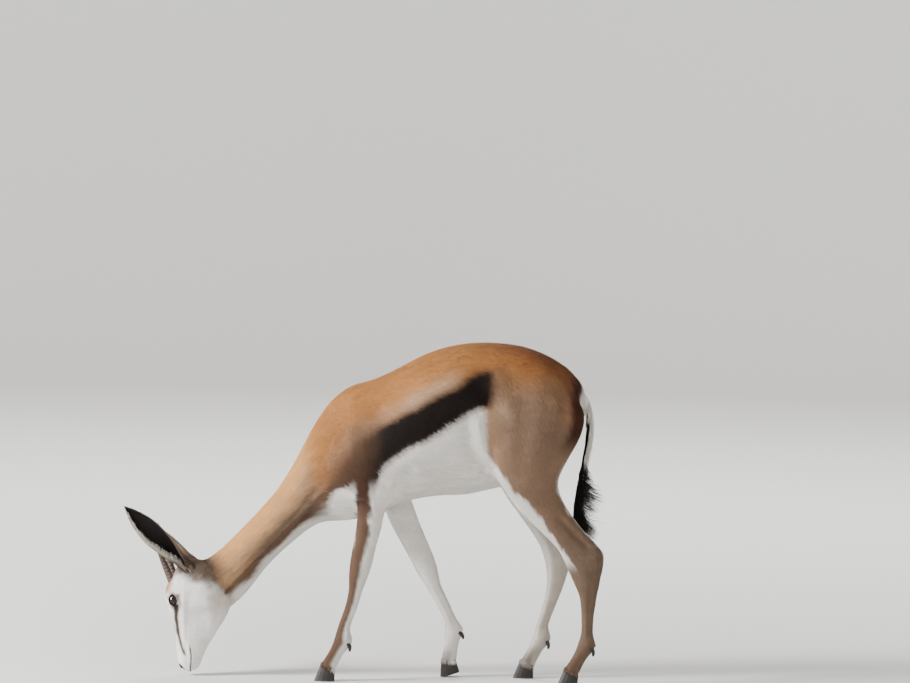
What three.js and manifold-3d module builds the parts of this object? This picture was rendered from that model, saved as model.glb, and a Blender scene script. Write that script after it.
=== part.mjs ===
// A grazing springbok ewe, life size, standing still with its head down at the grass.
// Millimetres, Z up. The animal looks along -X and its left side is -Y.
import * as THREE from "three";
import { mergeVertices } from "three/addons/utils/BufferGeometryUtils.js";
import Module from "manifold-3d";

const wasm = await Module();
wasm.setup();

// Driving dimensions
const GAP = 0.3; // thin cut between two neighbouring parts
const HEAD = { poll: [-438, 258], tilt: 2, twist: 12 }; // tilt and twist in degrees
const EYE = { x: 88, y: 34, z: 21, radius: 15, lid: 2.4, wide: 25, high: 17, slant: 14 };
const HORN = { radius: 10.4, tip: 1.6, ridges: 10, ridge: 0.07 };
const EAR = { root: [12, 28, -3], wall: 5, tipWall: 2.4 };
const MOUTH = { corner: [180, -15], front: [256, -12], sag: -4, slit: 1.2, lip: 3.2 };
const NOSTRIL = { x: 243, y: 9.5, z: 0, size: [7, 2.4, 3.6] };
const CLAW = { length: 47, halfWidth: 9, cleft: 1.4, slope: 15, flare: 0.14 };
const CORONET = { front: [15, 36], back: [47, 22], halfWidth: 17 };
const DEWCLAW = { root: [74, 85], tip: [79, 67], out: 8, radius: 5.2 };
const TUFT = {
  tiers: [0.49, 0.56, 0.63], // where each tier of locks is rooted, as shares of the tail
  around: 6,
  reach: 0.33, // a lock's length, as a share of the tail's
  halfWidth: 6.6,
  halfThick: 1.3,
  tip: 0.8,
  sink: 0.3,
  layer: 0.2, // how far each lower tier lies inside the one over it
  coreEnd: 0.66,
  coreThin: 0.5,
  seed: 7,
};
const FORE_WIDTH = 58; // from the middle plane to a fore foot
const HIND_WIDTH = 62; // from the middle plane to a hind foot

// Each ear's tip, from the poll, and the way its cup opens
const EARS = {
  left: { side: 1, tip: [-116, 84, 132], open: [0, -1, 0] },
  right: { side: -1, tip: [-76, -78, 168], open: [-0.35, 1, 0] },
};

const LOOKS = {
  fawn: { color: 0xb98456, roughness: 0.9 },
  white: { color: 0xd9d4cb, roughness: 0.9 },
  dark: { color: 0x2a1a13, roughness: 0.85 },
  horn: { color: 0x2b2724, roughness: 0.5 },
  eye: { color: 0x120c09, roughness: 0.1 },
};

// Turns any closed three.js geometry into a solid with its faces out.
function solidFromGeometry(geometry) {
  const bare = geometry.clone();
  bare.deleteAttribute("normal");
  bare.deleteAttribute("uv");
  const merged = mergeVertices(bare, 1e-3);
  const triVerts = new Uint32Array(merged.index.array);
  const vertProperties = new Float32Array(merged.attributes.position.array);
  const make = () => new wasm.Manifold(new wasm.Mesh({ numProp: 3, vertProperties, triVerts }));
  const solid = make();
  if (solid.volume() >= 0) return solid;
  for (let i = 0; i < triVerts.length; i += 3) {
    [triVerts[i + 1], triVerts[i + 2]] = [triVerts[i + 2], triVerts[i + 1]];
  }
  return make();
}

// Turns rings of points into a solid. Every ring has the same even count of points, and point i
// faces point count - 1 - i across the ring, so that each end closes as a ladder.
function solidFromRings(rings, frame = new THREE.Matrix4()) {
  const count = rings[0].length;
  const index = [];
  const quad = (a, b, c, d) => index.push(a, b, c, a, c, d);
  for (let r = 0; r + 1 < rings.length; r += 1) {
    for (let i = 0; i < count; i += 1) {
      const next = (i + 1) % count;
      quad(r * count + i, r * count + next, (r + 1) * count + next, (r + 1) * count + i);
    }
  }
  const last = (rings.length - 1) * count;
  for (let i = 0; i < count / 2 - 1; i += 1) {
    quad(i + 1, i, count - 1 - i, count - 2 - i);
    quad(last + i, last + i + 1, last + count - 2 - i, last + count - 1 - i);
  }
  const geometry = new THREE.BufferGeometry();
  const positions = rings.flat().flatMap((p) => [p.x, p.y, p.z]);
  geometry.setAttribute("position", new THREE.Float32BufferAttribute(positions, 3));
  geometry.setIndex(index);
  return solidFromGeometry(geometry.applyMatrix4(frame));
}

// The largest closed body of a solid
function largest(solid) {
  return solid.decompose().reduce((best, body) => (body.volume() > best.volume() ? body : best));
}

function join(solids) {
  return solids.reduce((all, solid) => all.add(solid));
}

function middleOf({ a, b }) {
  return a.clone().add(b).multiplyScalar(0.5);
}

// One cross-section: an egg between point a and point b of the side view
function sectionRing({ a, b, half, square, lift }, sides, shrink = 1, shift = new THREE.Vector3()) {
  const middle = middleOf({ a, b }).add(shift);
  const up = a.clone().sub(b).multiplyScalar(0.5 * shrink);
  const reach = 1 / Math.cos(Math.PI / sides);
  const bulge = (value) => Math.sign(value) * Math.abs(value) ** (2 / square) * reach;
  const ring = [];
  for (let i = 0; i < sides; i += 1) {
    const angle = ((i + 0.5) / sides) * 2 * Math.PI;
    const high = bulge(Math.cos(angle));
    const wide = bulge(Math.sin(angle)) * half * shrink;
    const along = high + lift * Math.max(0, 1 - high * high);
    ring.push(middle.clone().addScaledVector(up, along).add(new THREE.Vector3(0, wide, 0)));
  }
  return ring;
}

// The cross-section at any share of the way through stations. Each station gives its top or front
// point a and its low or back point b in the side view, the middle's y and the half width; square
// above 2 makes the section boxier and lift moves its widest place towards a.
function sectionsThrough(stations, grow = 0) {
  const curve = (pick) => {
    return new THREE.CatmullRomCurve3(stations.map((s) => new THREE.Vector3(...pick(s))));
  };
  const aLine = curve((s) => [s.a[0], s.y ?? 0, s.a[1]]);
  const bLine = curve((s) => [s.b[0], s.y ?? 0, s.b[1]]);
  const sizes = curve((s) => [s.half, s.square ?? 2, s.lift ?? 0]);
  return (share) => {
    const a = aLine.getPoint(share);
    const b = bLine.getPoint(share);
    const size = sizes.getPoint(share);
    const outward = a.clone().sub(b).setLength(grow);
    return { a: a.add(outward), b: b.sub(outward), half: size.x + grow, square: size.y, lift: size.z };
  };
}

// A body through stations. A dome closes an end with a round cap of that depth.
function loft(stations, { sides = 16, steps = 2, domes = [0, 0], grow = 0, frame } = {}) {
  const section = sectionsThrough(stations, grow);
  const last = (stations.length - 1) * steps;
  const sectionAt = (k) => section(k / last);
  const dome = (end, inner, depth) => {
    const out = middleOf(end).sub(middleOf(inner)).setLength(depth + grow);
    return [0.38, 0.7, 0.93].map((share) => {
      const turn = (share * Math.PI) / 2;
      return sectionRing(end, sides, Math.cos(turn), out.clone().multiplyScalar(Math.sin(turn)));
    });
  };
  const rings = [];
  for (let k = 0; k <= last; k += 1) rings.push(sectionRing(sectionAt(k), sides));
  const before = domes[0] ? dome(sectionAt(0), sectionAt(1), domes[0]).reverse() : [];
  const after = domes[1] ? dome(sectionAt(last), sectionAt(last - 1), domes[1]) : [];
  return solidFromRings([...before, ...rings, ...after], frame);
}

// A bar along a path. At each share of its length, size gives its half width and half thickness;
// face is the direction that its flat side looks in.
function sweep(points, { size, face, sides = 8, rings = 8, frame }) {
  const path = new THREE.CatmullRomCurve3(points.map((p) => new THREE.Vector3(...p)));
  const sections = [];
  for (let k = 0; k < rings; k += 1) {
    const share = k / (rings - 1);
    const centre = path.getPointAt(share);
    const across = path.getTangentAt(share).cross(face).normalize();
    const outward = across.clone().cross(path.getTangentAt(share)).normalize();
    const [wide, thick] = size(share);
    const ring = [];
    for (let i = 0; i < sides; i += 1) {
      const angle = ((i + 0.5) / sides) * 2 * Math.PI;
      const point = centre.clone().addScaledVector(across, wide * Math.cos(angle));
      ring.push(point.addScaledVector(outward, thick * Math.sin(angle)));
    }
    sections.push(ring);
  }
  return solidFromRings(sections, frame);
}

// Trunk and neck, from the rump to inside the head
const TRUNK = [
  { a: [430, 669], b: [414, 560], half: 44, square: 2.2 },
  { a: [398, 703], b: [392, 505], half: 78, square: 2.2 },
  { a: [347, 733], b: [345, 464], half: 97, square: 2.2 },
  { a: [294, 751], b: [292, 440], half: 105, square: 2.15 },
  { a: [238, 757], b: [236, 430], half: 107, square: 2.1 },
  { a: [182, 756], b: [180, 415], half: 110, square: 2.1 },
  { a: [125, 745], b: [124, 412], half: 114, square: 2.1 },
  { a: [70, 724], b: [70, 404], half: 113, square: 2.1, lift: -0.03 },
  { a: [15, 694], b: [18, 388], half: 105, square: 2.1, lift: -0.06 },
  { a: [-38, 669], b: [-30, 368], half: 94, square: 2.1, lift: -0.08 },
  { a: [-85, 655], b: [-72, 354], half: 82, square: 2.1, lift: -0.08 },
  { a: [-130, 620], b: [-108, 350], half: 70, square: 2.1, lift: -0.06 },
  { a: [-172, 556], b: [-142, 347], half: 59 },
  { a: [-207, 486], b: [-172, 331], half: 51 },
  { a: [-246, 421], b: [-203, 305], half: 44 },
  { a: [-298, 360], b: [-234, 277], half: 39 },
  { a: [-347, 308], b: [-265, 244], half: 36 },
  { a: [-388, 270], b: [-292, 208], half: 35 },
  { a: [-422, 250], b: [-322, 171], half: 33 },
  { a: [-446, 222], b: [-352, 150], half: 27 },
];

function trunk(grow = 0) {
  return loft(TRUNK, { sides: 28, domes: [8, 4], grow });
}

// Shoulder blade and upper arm, laid on the side of the chest
const SHOULDER = [
  { a: [-66, 618], b: [-20, 612], y: 44, half: 20 },
  { a: [-98, 575], b: [2, 566], y: 58, half: 27 },
  { a: [-124, 510], b: [22, 500], y: 62, half: 33 },
  { a: [-116, 455], b: [34, 448], y: 62, half: 32 },
  { a: [-84, 412], b: [22, 408], y: 61, half: 27 },
];

function shoulder(side) {
  return loft(SHOULDER.map((s) => ({ ...s, y: side * s.y })), { domes: [14, 14] });
}

// Each leg from its root down to above the fetlock. The foot's own stations follow on.
const HAUNCH = [
  { a: [262, 668], b: [392, 680], y: 44, half: 32 },
  { a: [224, 606], b: [436, 606], y: 60, half: 50 },
  { a: [217, 548], b: [427, 552], y: 66, half: 50 },
];
const LEG_STATIONS = {
  foreleg_left: [
    { a: [-92, 470], b: [30, 462], half: 30 },
    { a: [-70, 425], b: [26, 420], half: 27 },
    { a: [-63, 390], b: [-1, 386], half: 22 },
    { a: [-67, 345], b: [-10, 343], half: 18 },
    { a: [-73, 303], b: [-22, 296], half: 15.5 },
    { a: [-79, 264], b: [-30, 258], half: 16.5, square: 2.3 },
    { a: [-81, 234], b: [-40, 228], half: 16.5, square: 2.3 },
    { a: [-81, 204], b: [-50, 200], half: 13 },
    { a: [-89, 164], b: [-61, 160], half: 11.5 },
  ],
  foreleg_right: [
    { a: [-84, 470], b: [38, 462], half: 30 },
    { a: [-44, 425], b: [46, 425], half: 27 },
    { a: [-12, 386], b: [57, 390], half: 22 },
    { a: [9, 340], b: [73, 347], half: 18 },
    { a: [34, 297], b: [91, 306], half: 15.5 },
    { a: [54, 262], b: [107, 269], half: 16.5, square: 2.3 },
    { a: [70, 232], b: [116, 241], half: 16.5, square: 2.3 },
    { a: [89, 203], b: [123, 210], half: 13 },
    { a: [112, 165], b: [141, 173], half: 11.5 },
  ],
  hindleg_left: [
    ...HAUNCH,
    { a: [227, 494], b: [403, 509], y: 70, half: 45 },
    { a: [253, 443], b: [380, 460], y: 72, half: 36 },
    { a: [292, 389], b: [385, 423], half: 28 },
    { a: [342, 341], b: [410, 381], half: 22 },
    { a: [383, 300], b: [449, 334], half: 17 },
    { a: [402, 262], b: [484, 296], half: 15.5, square: 2.3 },
    { a: [416, 232], b: [481, 254], half: 15.5, square: 2.3 },
    { a: [430, 198], b: [472, 204], half: 13 },
    { a: [435, 160], b: [466, 160], half: 12 },
  ],
  hindleg_right: [
    ...HAUNCH,
    { a: [224, 494], b: [398, 507], y: 70, half: 45 },
    { a: [243, 445], b: [370, 456], y: 72, half: 36 },
    { a: [278, 391], b: [366, 412], half: 28 },
    { a: [315, 341], b: [379, 366], half: 22 },
    { a: [344, 297], b: [403, 319], half: 17 },
    { a: [357, 256], b: [419, 284], half: 15.5, square: 2.3 },
    { a: [361, 222], b: [408, 238], half: 15.5, square: 2.3 },
    { a: [357, 186], b: [393, 190], half: 13 },
    { a: [348, 150], b: [377, 148], half: 12 },
  ],
};

// A foot from above the fetlock to the coronet, measured from the toe: X back from it, Z up
const FOOT_STATIONS = [
  { a: [51, 120], b: [79, 116], half: 12 },
  { a: [45, 97], b: [86, 88], half: 14.5 },
  { a: [37, 74], b: [66, 60], half: 12.5 },
  { a: [25, 52], b: [55, 39], half: 14.5 },
  { a: CORONET.front, b: CORONET.back, half: CORONET.halfWidth },
];

// Each foot's toe in X, its side, its distance from the middle plane, and the degrees that its heel
// is raised, with the depth of toe that the flat under it takes off
const FEET = {
  foreleg_left: { toe: -155, side: -1, out: FORE_WIDTH, heel: 0, flat: 0 },
  foreleg_right: { toe: 125, side: 1, out: FORE_WIDTH, heel: 20, flat: 3.5 },
  hindleg_left: { toe: 385, side: -1, out: HIND_WIDTH, heel: 0, flat: 0 },
  hindleg_right: { toe: 288, side: 1, out: HIND_WIDTH, heel: 0, flat: 0 },
};

// A point of the foot's own side view, turned about the toe and put at its place
function footPoint({ toe, heel, flat }, [x, z]) {
  const turned = new THREE.Vector2(x, z).rotateAround(new THREE.Vector2(), THREE.MathUtils.degToRad(heel));
  return [toe + turned.x, turned.y - flat];
}

function leg(name, grow = 0) {
  const foot = FEET[name];
  const place = ([x, z]) => footPoint(foot, [x, z + GAP]);
  const lower = FOOT_STATIONS.map((s) => ({ ...s, a: place(s.a), b: place(s.b) }));
  const stations = [...LEG_STATIONS[name], ...lower];
  const placed = stations.map((s) => ({ ...s, y: foot.side * (s.y ?? foot.out) }));
  return loft(placed, { sides: 14, domes: [14, 0], grow });
}

// One claw of a hoof: pointed in front, round at the heel, with a flat sole
function claw(name, inner) {
  const foot = FEET[name];
  const sides = 12;
  const layers = 3;
  const middle = foot.side * foot.out + inner * (CLAW.halfWidth + CLAW.cleft / 2);
  const rings = [];
  for (let k = 0; k <= layers; k += 1) {
    const height = k / layers;
    const toe = CLAW.slope * height;
    const ring = [];
    for (let i = 0; i < sides; i += 1) {
      const angle = ((i + 0.5) / sides) * 2 * Math.PI;
      const back = (1 - Math.cos(angle)) / 2;
      const taper = (0.3 + 0.7 * Math.sqrt(back)) * (1 - CLAW.flare * height);
      const y = middle - inner * CLAW.halfWidth * (1 - taper) + CLAW.halfWidth * taper * Math.sin(angle);
      const rise = CORONET.front[1] + (CORONET.back[1] - CORONET.front[1]) * back;
      const [x, z] = footPoint(foot, [toe + (CLAW.length - toe) * back, rise * height]);
      ring.push(new THREE.Vector3(x, y, z));
    }
    rings.push(ring);
  }
  const floor = new THREE.BoxGeometry(200, 100, 60);
  floor.translate(foot.toe, foot.side * foot.out, -30);
  return largest(solidFromRings(rings).subtract(solidFromGeometry(floor)));
}

// A small false claw behind the fetlock
function dewclaw(name, inner, grow = 0) {
  const foot = FEET[name];
  const y = foot.side * foot.out + inner * DEWCLAW.out;
  const [rootX, rootZ] = footPoint(foot, DEWCLAW.root);
  const [tipX, tipZ] = footPoint(foot, DEWCLAW.tip);
  const thick = (share) => DEWCLAW.radius * (1 - 0.55 * share * share) + grow;
  return sweep([[rootX, y, rootZ], [(rootX + tipX) / 2 + 3, y, (rootZ + tipZ) / 2], [tipX, y, tipZ]], {
    size: (share) => [thick(share), thick(share)],
    face: new THREE.Vector3(0, 1, 0),
    sides: 8,
    rings: 5,
  });
}

// Head, in its own frame: X from the poll to the muzzle, Y to its left, Z to its brow
const HEAD_STATIONS = [
  { a: [0, 14], b: [10, -66], half: 26 },
  { a: [16, 27], b: [30, -87], half: 36, lift: 0.2 },
  { a: [38, 36], b: [54, -98], half: 41, lift: 0.3 },
  { a: [62, 48], b: [78, -101], half: 42, lift: 0.35 },
  { a: [86, 47], b: [102, -98], half: 41, lift: 0.4 },
  { a: [114, 39], b: [127, -88], half: 36, lift: 0.35 },
  { a: [144, 31.5], b: [151, -74], half: 30, lift: 0.25 },
  { a: [174, 25], b: [178, -59], half: 25, lift: 0.1 },
  { a: [203, 20], b: [205, -46], half: 22 },
  { a: [226, 15], b: [227, -38], half: 21.5 },
  { a: [240, 8], b: [239, -32], half: 18.5 },
];

function headFrame() {
  const tilt = THREE.MathUtils.degToRad(HEAD.tilt);
  const twist = THREE.MathUtils.degToRad(HEAD.twist);
  const ahead = new THREE.Vector3(-Math.sin(tilt), 0, -Math.cos(tilt));
  const brow = new THREE.Vector3(-Math.cos(tilt), 0, Math.sin(tilt)).applyAxisAngle(ahead, twist);
  const left = brow.clone().cross(ahead);
  return new THREE.Matrix4().makeBasis(ahead, left, brow).setPosition(HEAD.poll[0], 0, HEAD.poll[1]);
}

const FRAME = headFrame();

function headCore(grow = 0) {
  return loft(HEAD_STATIONS, { sides: 24, domes: [8, 8], grow, frame: FRAME });
}

// A ball at the eye's place, in the head's frame
function eyeBall(side, radius) {
  const ball = new THREE.SphereGeometry(radius, 14, 10);
  ball.translate(EYE.x, side * EYE.y, EYE.z);
  return solidFromGeometry(ball.applyMatrix4(FRAME));
}

// The almond opening between the lids, cut from the side
function lidOpening(side) {
  const corner = EYE.wide / 2;
  const almond = new THREE.Shape();
  almond.moveTo(-corner, 0);
  almond.quadraticCurveTo(0, EYE.high, corner, 0);
  almond.quadraticCurveTo(0, -EYE.high, -corner, 0);
  const depth = EYE.radius * 2;
  const cut = new THREE.ExtrudeGeometry(almond, { depth, bevelEnabled: false, curveSegments: 8 });
  cut.rotateX(Math.PI / 2);
  cut.rotateY(THREE.MathUtils.degToRad(EYE.slant));
  cut.translate(EYE.x, side > 0 ? EYE.y + depth : -EYE.y, EYE.z);
  return solidFromGeometry(cut.applyMatrix4(FRAME));
}

// The line of the mouth in the side view, from its corner to the front
function mouthCurve() {
  const corner = new THREE.Vector2(...MOUTH.corner);
  const front = new THREE.Vector2(...MOUTH.front);
  const sag = corner.clone().add(front).multiplyScalar(0.5).add(new THREE.Vector2(0, MOUTH.sag));
  return new THREE.QuadraticBezierCurve(corner, sag, front);
}

function mouthSlit() {
  const line = mouthCurve().getPoints(6);
  const upper = line.map((p) => new THREE.Vector2(p.x, p.y + MOUTH.slit / 2));
  const lower = line.map((p) => new THREE.Vector2(p.x, p.y - MOUTH.slit / 2)).reverse();
  const outline = new THREE.Shape([...upper, ...lower]);
  const cut = new THREE.ExtrudeGeometry(outline, { depth: 70, bevelEnabled: false });
  cut.rotateX(Math.PI / 2);
  cut.translate(0, 35, 0);
  return solidFromGeometry(cut.applyMatrix4(FRAME));
}

// The rounded lips above and below the mouth's line, once round the muzzle
function lips() {
  const line = mouthCurve();
  const half = [24, 21.5, 19.5, 16, 8, 0];
  const along = [0, 0.34, 0.62, 0.79, 0.88, 0.9];
  const leftSide = along.map((share, i) => {
    const p = line.getPoint(share);
    return [p.x, half[i], p.y];
  });
  const rightSide = leftSide.slice(0, -1).reverse().map(([x, y, z]) => [x, -y, z]);
  return sweep([...leftSide, ...rightSide], {
    size: (share) => {
      const thick = MOUTH.lip * (0.45 + 0.55 * Math.sin(Math.PI * share) ** 0.5);
      return [thick, thick];
    },
    face: new THREE.Vector3(0, 0, 1),
    sides: 8,
    rings: 17,
    frame: FRAME,
  });
}

function nostril(side) {
  const pit = new THREE.SphereGeometry(1, 10, 8);
  pit.scale(...NOSTRIL.size);
  pit.rotateY(0.5);
  pit.rotateZ(side * -0.75);
  pit.translate(NOSTRIL.x, side * NOSTRIL.y, NOSTRIL.z);
  return solidFromGeometry(pit.applyMatrix4(FRAME));
}

// The head with its eye sockets, lids, lips and nostrils
function head() {
  const orbits = [1, -1].map((side) => eyeBall(side, EYE.radius + EYE.lid));
  const full = join([headCore(), lips(), ...orbits]);
  const cuts = [mouthSlit()];
  for (const side of [1, -1]) {
    cuts.push(eyeBall(side, EYE.radius + GAP), lidOpening(side), nostril(side));
  }
  return full.subtract(join(cuts));
}

// A ringed horn, thin as a ewe's, that leans back and spreads a little
function horn(side) {
  const points = [[70, 14, 20], [50, 17, 33], [12, 22, 51], [-31, 27, 69], [-74, 31, 86]];
  return sweep(points.map(([x, y, z]) => [x, side * y, z]), {
    size: (share) => {
      const ripple = share < 0.7 ? HORN.ridge * Math.cos(share * HORN.ridges * 2 * Math.PI / 0.7) : 0;
      const thick = (HORN.tip + (HORN.radius - HORN.tip) * (1 - share) ** 0.7) * (1 + ripple);
      return [thick, thick];
    },
    face: new THREE.Vector3(0, 1, 0),
    sides: 8,
    rings: 31,
    frame: FRAME,
  }).subtract(headCore(GAP));
}

// Ear stations: share of the length, half width, depth of the cup, and the half angle it wraps
const EAR_STATIONS = [
  [0, 13, 13, 160],
  [0.12, 16, 17, 150],
  [0.3, 22, 21, 118],
  [0.5, 26, 21, 98],
  [0.68, 24.5, 17, 88],
  [0.84, 16, 10, 82],
  [0.95, 7, 4, 80],
  [1, 1.6, 1.2, 80],
];

// An ear from its root to its tip
function ear({ side, tip, open: opening }) {
  const root = new THREE.Vector3(EAR.root[0], side * EAR.root[1], EAR.root[2]);
  const axis = new THREE.Vector3(...tip).sub(root);
  const open = new THREE.Vector3(...opening).transformDirection(FRAME.clone().invert());
  open.addScaledVector(axis, -open.dot(axis) / axis.lengthSq()).normalize();
  const across = axis.clone().cross(open).normalize();
  const shape = new THREE.CatmullRomCurve3(EAR_STATIONS.map((s) => new THREE.Vector3(s[1], s[2], s[3])));
  const shares = new THREE.CatmullRomCurve3(EAR_STATIONS.map((s) => new THREE.Vector3(s[0], s[1], 0)));
  const arc = 8;
  const rings = [];
  for (let k = 0; k <= 14; k += 1) {
    const share = shares.getPoint(k / 14).x;
    const { x: half, y: depth, z: wrap } = shape.getPoint(k / 14);
    const wall = Math.min(EAR.wall + (EAR.tipWall - EAR.wall) * share, half * 0.8);
    const centre = root.clone().addScaledVector(axis, share);
    centre.addScaledVector(open, 14 * Math.sin(Math.PI * share) ** 2);
    const edge = (inset, v) => {
      const angle = THREE.MathUtils.degToRad(wrap) * v;
      const point = centre.clone().addScaledVector(across, (half - inset) * Math.sin(angle));
      return point.addScaledVector(open, -(depth - inset * 0.8) * Math.cos(angle));
    };
    const outer = [];
    const inner = [];
    for (let i = 0; i < arc; i += 1) {
      const v = (2 * i) / (arc - 1) - 1;
      outer.push(edge(0, v));
      inner.unshift(edge(wall, v * 0.985));
    }
    rings.push([...outer, ...inner]);
  }
  return largest(solidFromRings(rings, FRAME).subtract(headCore(GAP)).subtract(trunk(GAP)));
}

// Tail, out to the tips of its tuft
const TAIL = [
  { a: [434, 673], b: [414, 652], half: 11 },
  { a: [452, 640], b: [430, 630], half: 11 },
  { a: [461, 595], b: [441, 592], half: 10 },
  { a: [456, 550], b: [437, 550], half: 9 },
  { a: [449, 505], b: [429, 503], half: 8.5 },
  { a: [448, 470], b: [424, 466], half: 10 },
  { a: [452, 425], b: [415, 424], half: 13 },
  { a: [461, 385], b: [411, 391], half: 13 },
  { a: [464, 352], b: [430, 366], half: 10 },
  { a: [459, 316], b: [451, 322], half: 4 },
];

// A seeded draw of numbers between low and high
function seededDraw(seed) {
  let state = seed;
  return (low, high) => {
    state = (state * 16807) % 2147483647;
    return low + ((high - low) * state) / 2147483647;
  };
}

// The firm part of the tail, which thins out inside the tuft
function tailCore() {
  const section = sectionsThrough(TAIL);
  const count = 11;
  const stations = Array.from({ length: count }, (_, i) => {
    const share = (i / (count - 1)) * TUFT.coreEnd;
    const { a, b, half } = section(share);
    const middle = middleOf({ a, b });
    const thin = 1 - TUFT.coreThin * THREE.MathUtils.smoothstep(share, TUFT.tiers[0], TUFT.coreEnd);
    const along = (end) => middle.clone().lerp(end, thin);
    return { a: [along(a).x, along(a).z], b: [along(b).x, along(b).z], half: half * thin };
  });
  return loft(stations, { sides: 12, steps: 1, domes: [4, 6] });
}

// One flat lock of the tuft. It leaves the core and follows the tail's outline at an angle round it,
// where angle 0 is behind.
function tuftLock(from, to, angle, width, inside) {
  const section = sectionsThrough(TAIL);
  const outward = new THREE.Vector3(Math.cos(angle), Math.sin(angle), 0);
  const points = [0, 0.22, 0.5, 0.76, 1].map((share) => {
    const { a, b, half } = section(from + (to - from) * share);
    const rise = THREE.MathUtils.smoothstep(share, -0.15, 0.4);
    const out = THREE.MathUtils.lerp(TUFT.sink, 1, rise) - inside * rise * (1 - share * share);
    const middle = middleOf({ a, b }).addScaledVector(a.clone().sub(b), (out * outward.x) / 2);
    return [middle.x, half * out * outward.y, middle.z];
  });
  return sweep(points, {
    size: (share) => {
      const wide = THREE.MathUtils.lerp(TUFT.tip, width, (1 - share) ** 0.6);
      return [wide, THREE.MathUtils.lerp(TUFT.tip / 2, TUFT.halfThick, 1 - share)];
    },
    face: outward,
    sides: 6,
    rings: 5,
  });
}

// The tuft: tiers of locks that overlap down the tail, longest behind
function tuft() {
  const draw = seededDraw(TUFT.seed);
  const locks = [];
  TUFT.tiers.forEach((from, tier) => {
    for (let i = 0; i < TUFT.around; i += 1) {
      const angle = ((i + (tier % 2) / 2 + draw(-0.15, 0.15)) / TUFT.around) * 2 * Math.PI;
      const furthest = 0.91 + 0.09 * Math.cos(angle);
      const to = Math.min(from + TUFT.reach * draw(0.85, 1.15), furthest);
      locks.push(tuftLock(from, to, angle, TUFT.halfWidth * draw(0.85, 1.15), TUFT.layer * tier));
    }
  });
  return locks;
}

// A thin wall through points p and q of the side view, from one y to another
function wall(p, q, y) {
  const box = new THREE.BoxGeometry(Math.hypot(q[0] - p[0], q[1] - p[1]), y[1] - y[0], GAP);
  box.rotateY(-Math.atan2(q[1] - p[1], q[0] - p[0]));
  box.translate((p[0] + q[0]) / 2, (y[0] + y[1]) / 2, (p[1] + q[1]) / 2);
  return solidFromGeometry(box);
}

// A thin wall over a stretch of X that climbs outwards on one side, from point inner to point outer
// of the front view
function slopedWall(side, x, inner, outer) {
  const length = Math.hypot(outer[0] - inner[0], outer[1] - inner[1]);
  const box = new THREE.BoxGeometry(x[1] - x[0], length, GAP);
  box.rotateX(side * Math.atan2(outer[1] - inner[1], outer[0] - inner[0]));
  box.translate((x[0] + x[1]) / 2, (side * (inner[0] + outer[0])) / 2, (inner[1] + outer[1]) / 2);
  return solidFromGeometry(box);
}

// The thin cuts: at the neck's base, behind the head, and round the root of each leg
function partingWalls() {
  const walls = [wall([-166, 600], [-135, 330], [-120, 120]), wall([-424, 284], [-322, 142], [-80, 80])];
  for (const side of [-1, 1]) {
    const outward = side < 0 ? [-170, 0] : [0, 170];
    walls.push(slopedWall(side, [-109, 130], [0, 330], [120, 491]));
    walls.push(wall([-108, 500], [-108, 325], side < 0 ? [-130, 0] : [0, 130]));
    walls.push(slopedWall(side, [213, 480], [0, 412], [150, 637]));
    walls.push(wall([214, 640], [214, 405], outward));
  }
  return join(walls);
}

// Parts the body and names each piece by a point in its box
function partedBody() {
  const whole = join([trunk(), head(), shoulder(-1), shoulder(1), ...Object.keys(FEET).map((n) => leg(n))]);
  const pieces = whole.subtract(partingWalls()).decompose();
  const probes = { torso: [100, 0, 600], neck: [-290, 0, 300], head: [-440, 0, 60] };
  for (const [name, foot] of Object.entries(FEET)) {
    probes[name] = [foot.toe + 45, foot.side * foot.out, 45];
  }
  const holds = (piece, point) => {
    const { min, max } = piece.boundingBox();
    return point.every((value, i) => value > min[i] && value < max[i]);
  };
  const named = Object.entries(probes).map(([name, point]) => {
    const held = pieces.filter((piece) => holds(piece, point));
    return [name, held.reduce((best, piece) => (piece.volume() > best.volume() ? piece : best))];
  });
  return Object.fromEntries(named);
}

function mesh(name, solid, look) {
  const material = new THREE.MeshStandardMaterial({ ...LOOKS[look], metalness: 0, flatShading: true });
  const made = new THREE.Mesh(geometryFromSolid(solid), material);
  made.name = name;
  return made;
}

function geometryFromSolid(solid) {
  const { vertProperties, triVerts } = solid.getMesh();
  const geometry = new THREE.BufferGeometry();
  geometry.setAttribute("position", new THREE.BufferAttribute(new Float32Array(vertProperties), 3));
  geometry.setIndex(new THREE.BufferAttribute(new Uint32Array(triVerts), 1));
  geometry.computeVertexNormals();
  return geometry;
}

const group = new THREE.Group();
const body = partedBody();
const fleshLook = { head: "white" };
for (const [name, solid] of Object.entries(body)) {
  group.add(mesh(name, solid, fleshLook[name] ?? "fawn"));
}

const haunches = leg("hindleg_left", GAP).add(leg("hindleg_right", GAP));
const tail = join([tailCore(), ...tuft()]).subtract(trunk(GAP)).subtract(haunches);
group.add(mesh("tail", largest(tail), "dark"));

for (const [word, { side }] of Object.entries(EARS)) {
  group.add(mesh(`ear_${word}`, ear(EARS[word]), "dark"));
  group.add(mesh(`horn_${word}`, largest(horn(side)), "horn"));
  group.add(mesh(`eye_${word}`, eyeBall(side, EYE.radius), "eye"));
}

for (const name of Object.keys(FEET)) {
  for (const [word, inner] of [["outer", FEET[name].side], ["inner", -FEET[name].side]]) {
    group.add(mesh(`${name}_hoof_${word}`, claw(name, inner), "horn"));
    const nub = dewclaw(name, inner).subtract(leg(name, GAP));
    group.add(mesh(`${name}_dewclaw_${word}`, largest(nub), "horn"));
  }
}

// The origin is on the floor under the middle of the box round the whole animal.
const box = new THREE.Box3().setFromObject(group);
const centre = box.getCenter(new THREE.Vector3());
group.position.set(-centre.x, -centre.y, -box.min.z);

export default group;
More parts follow.
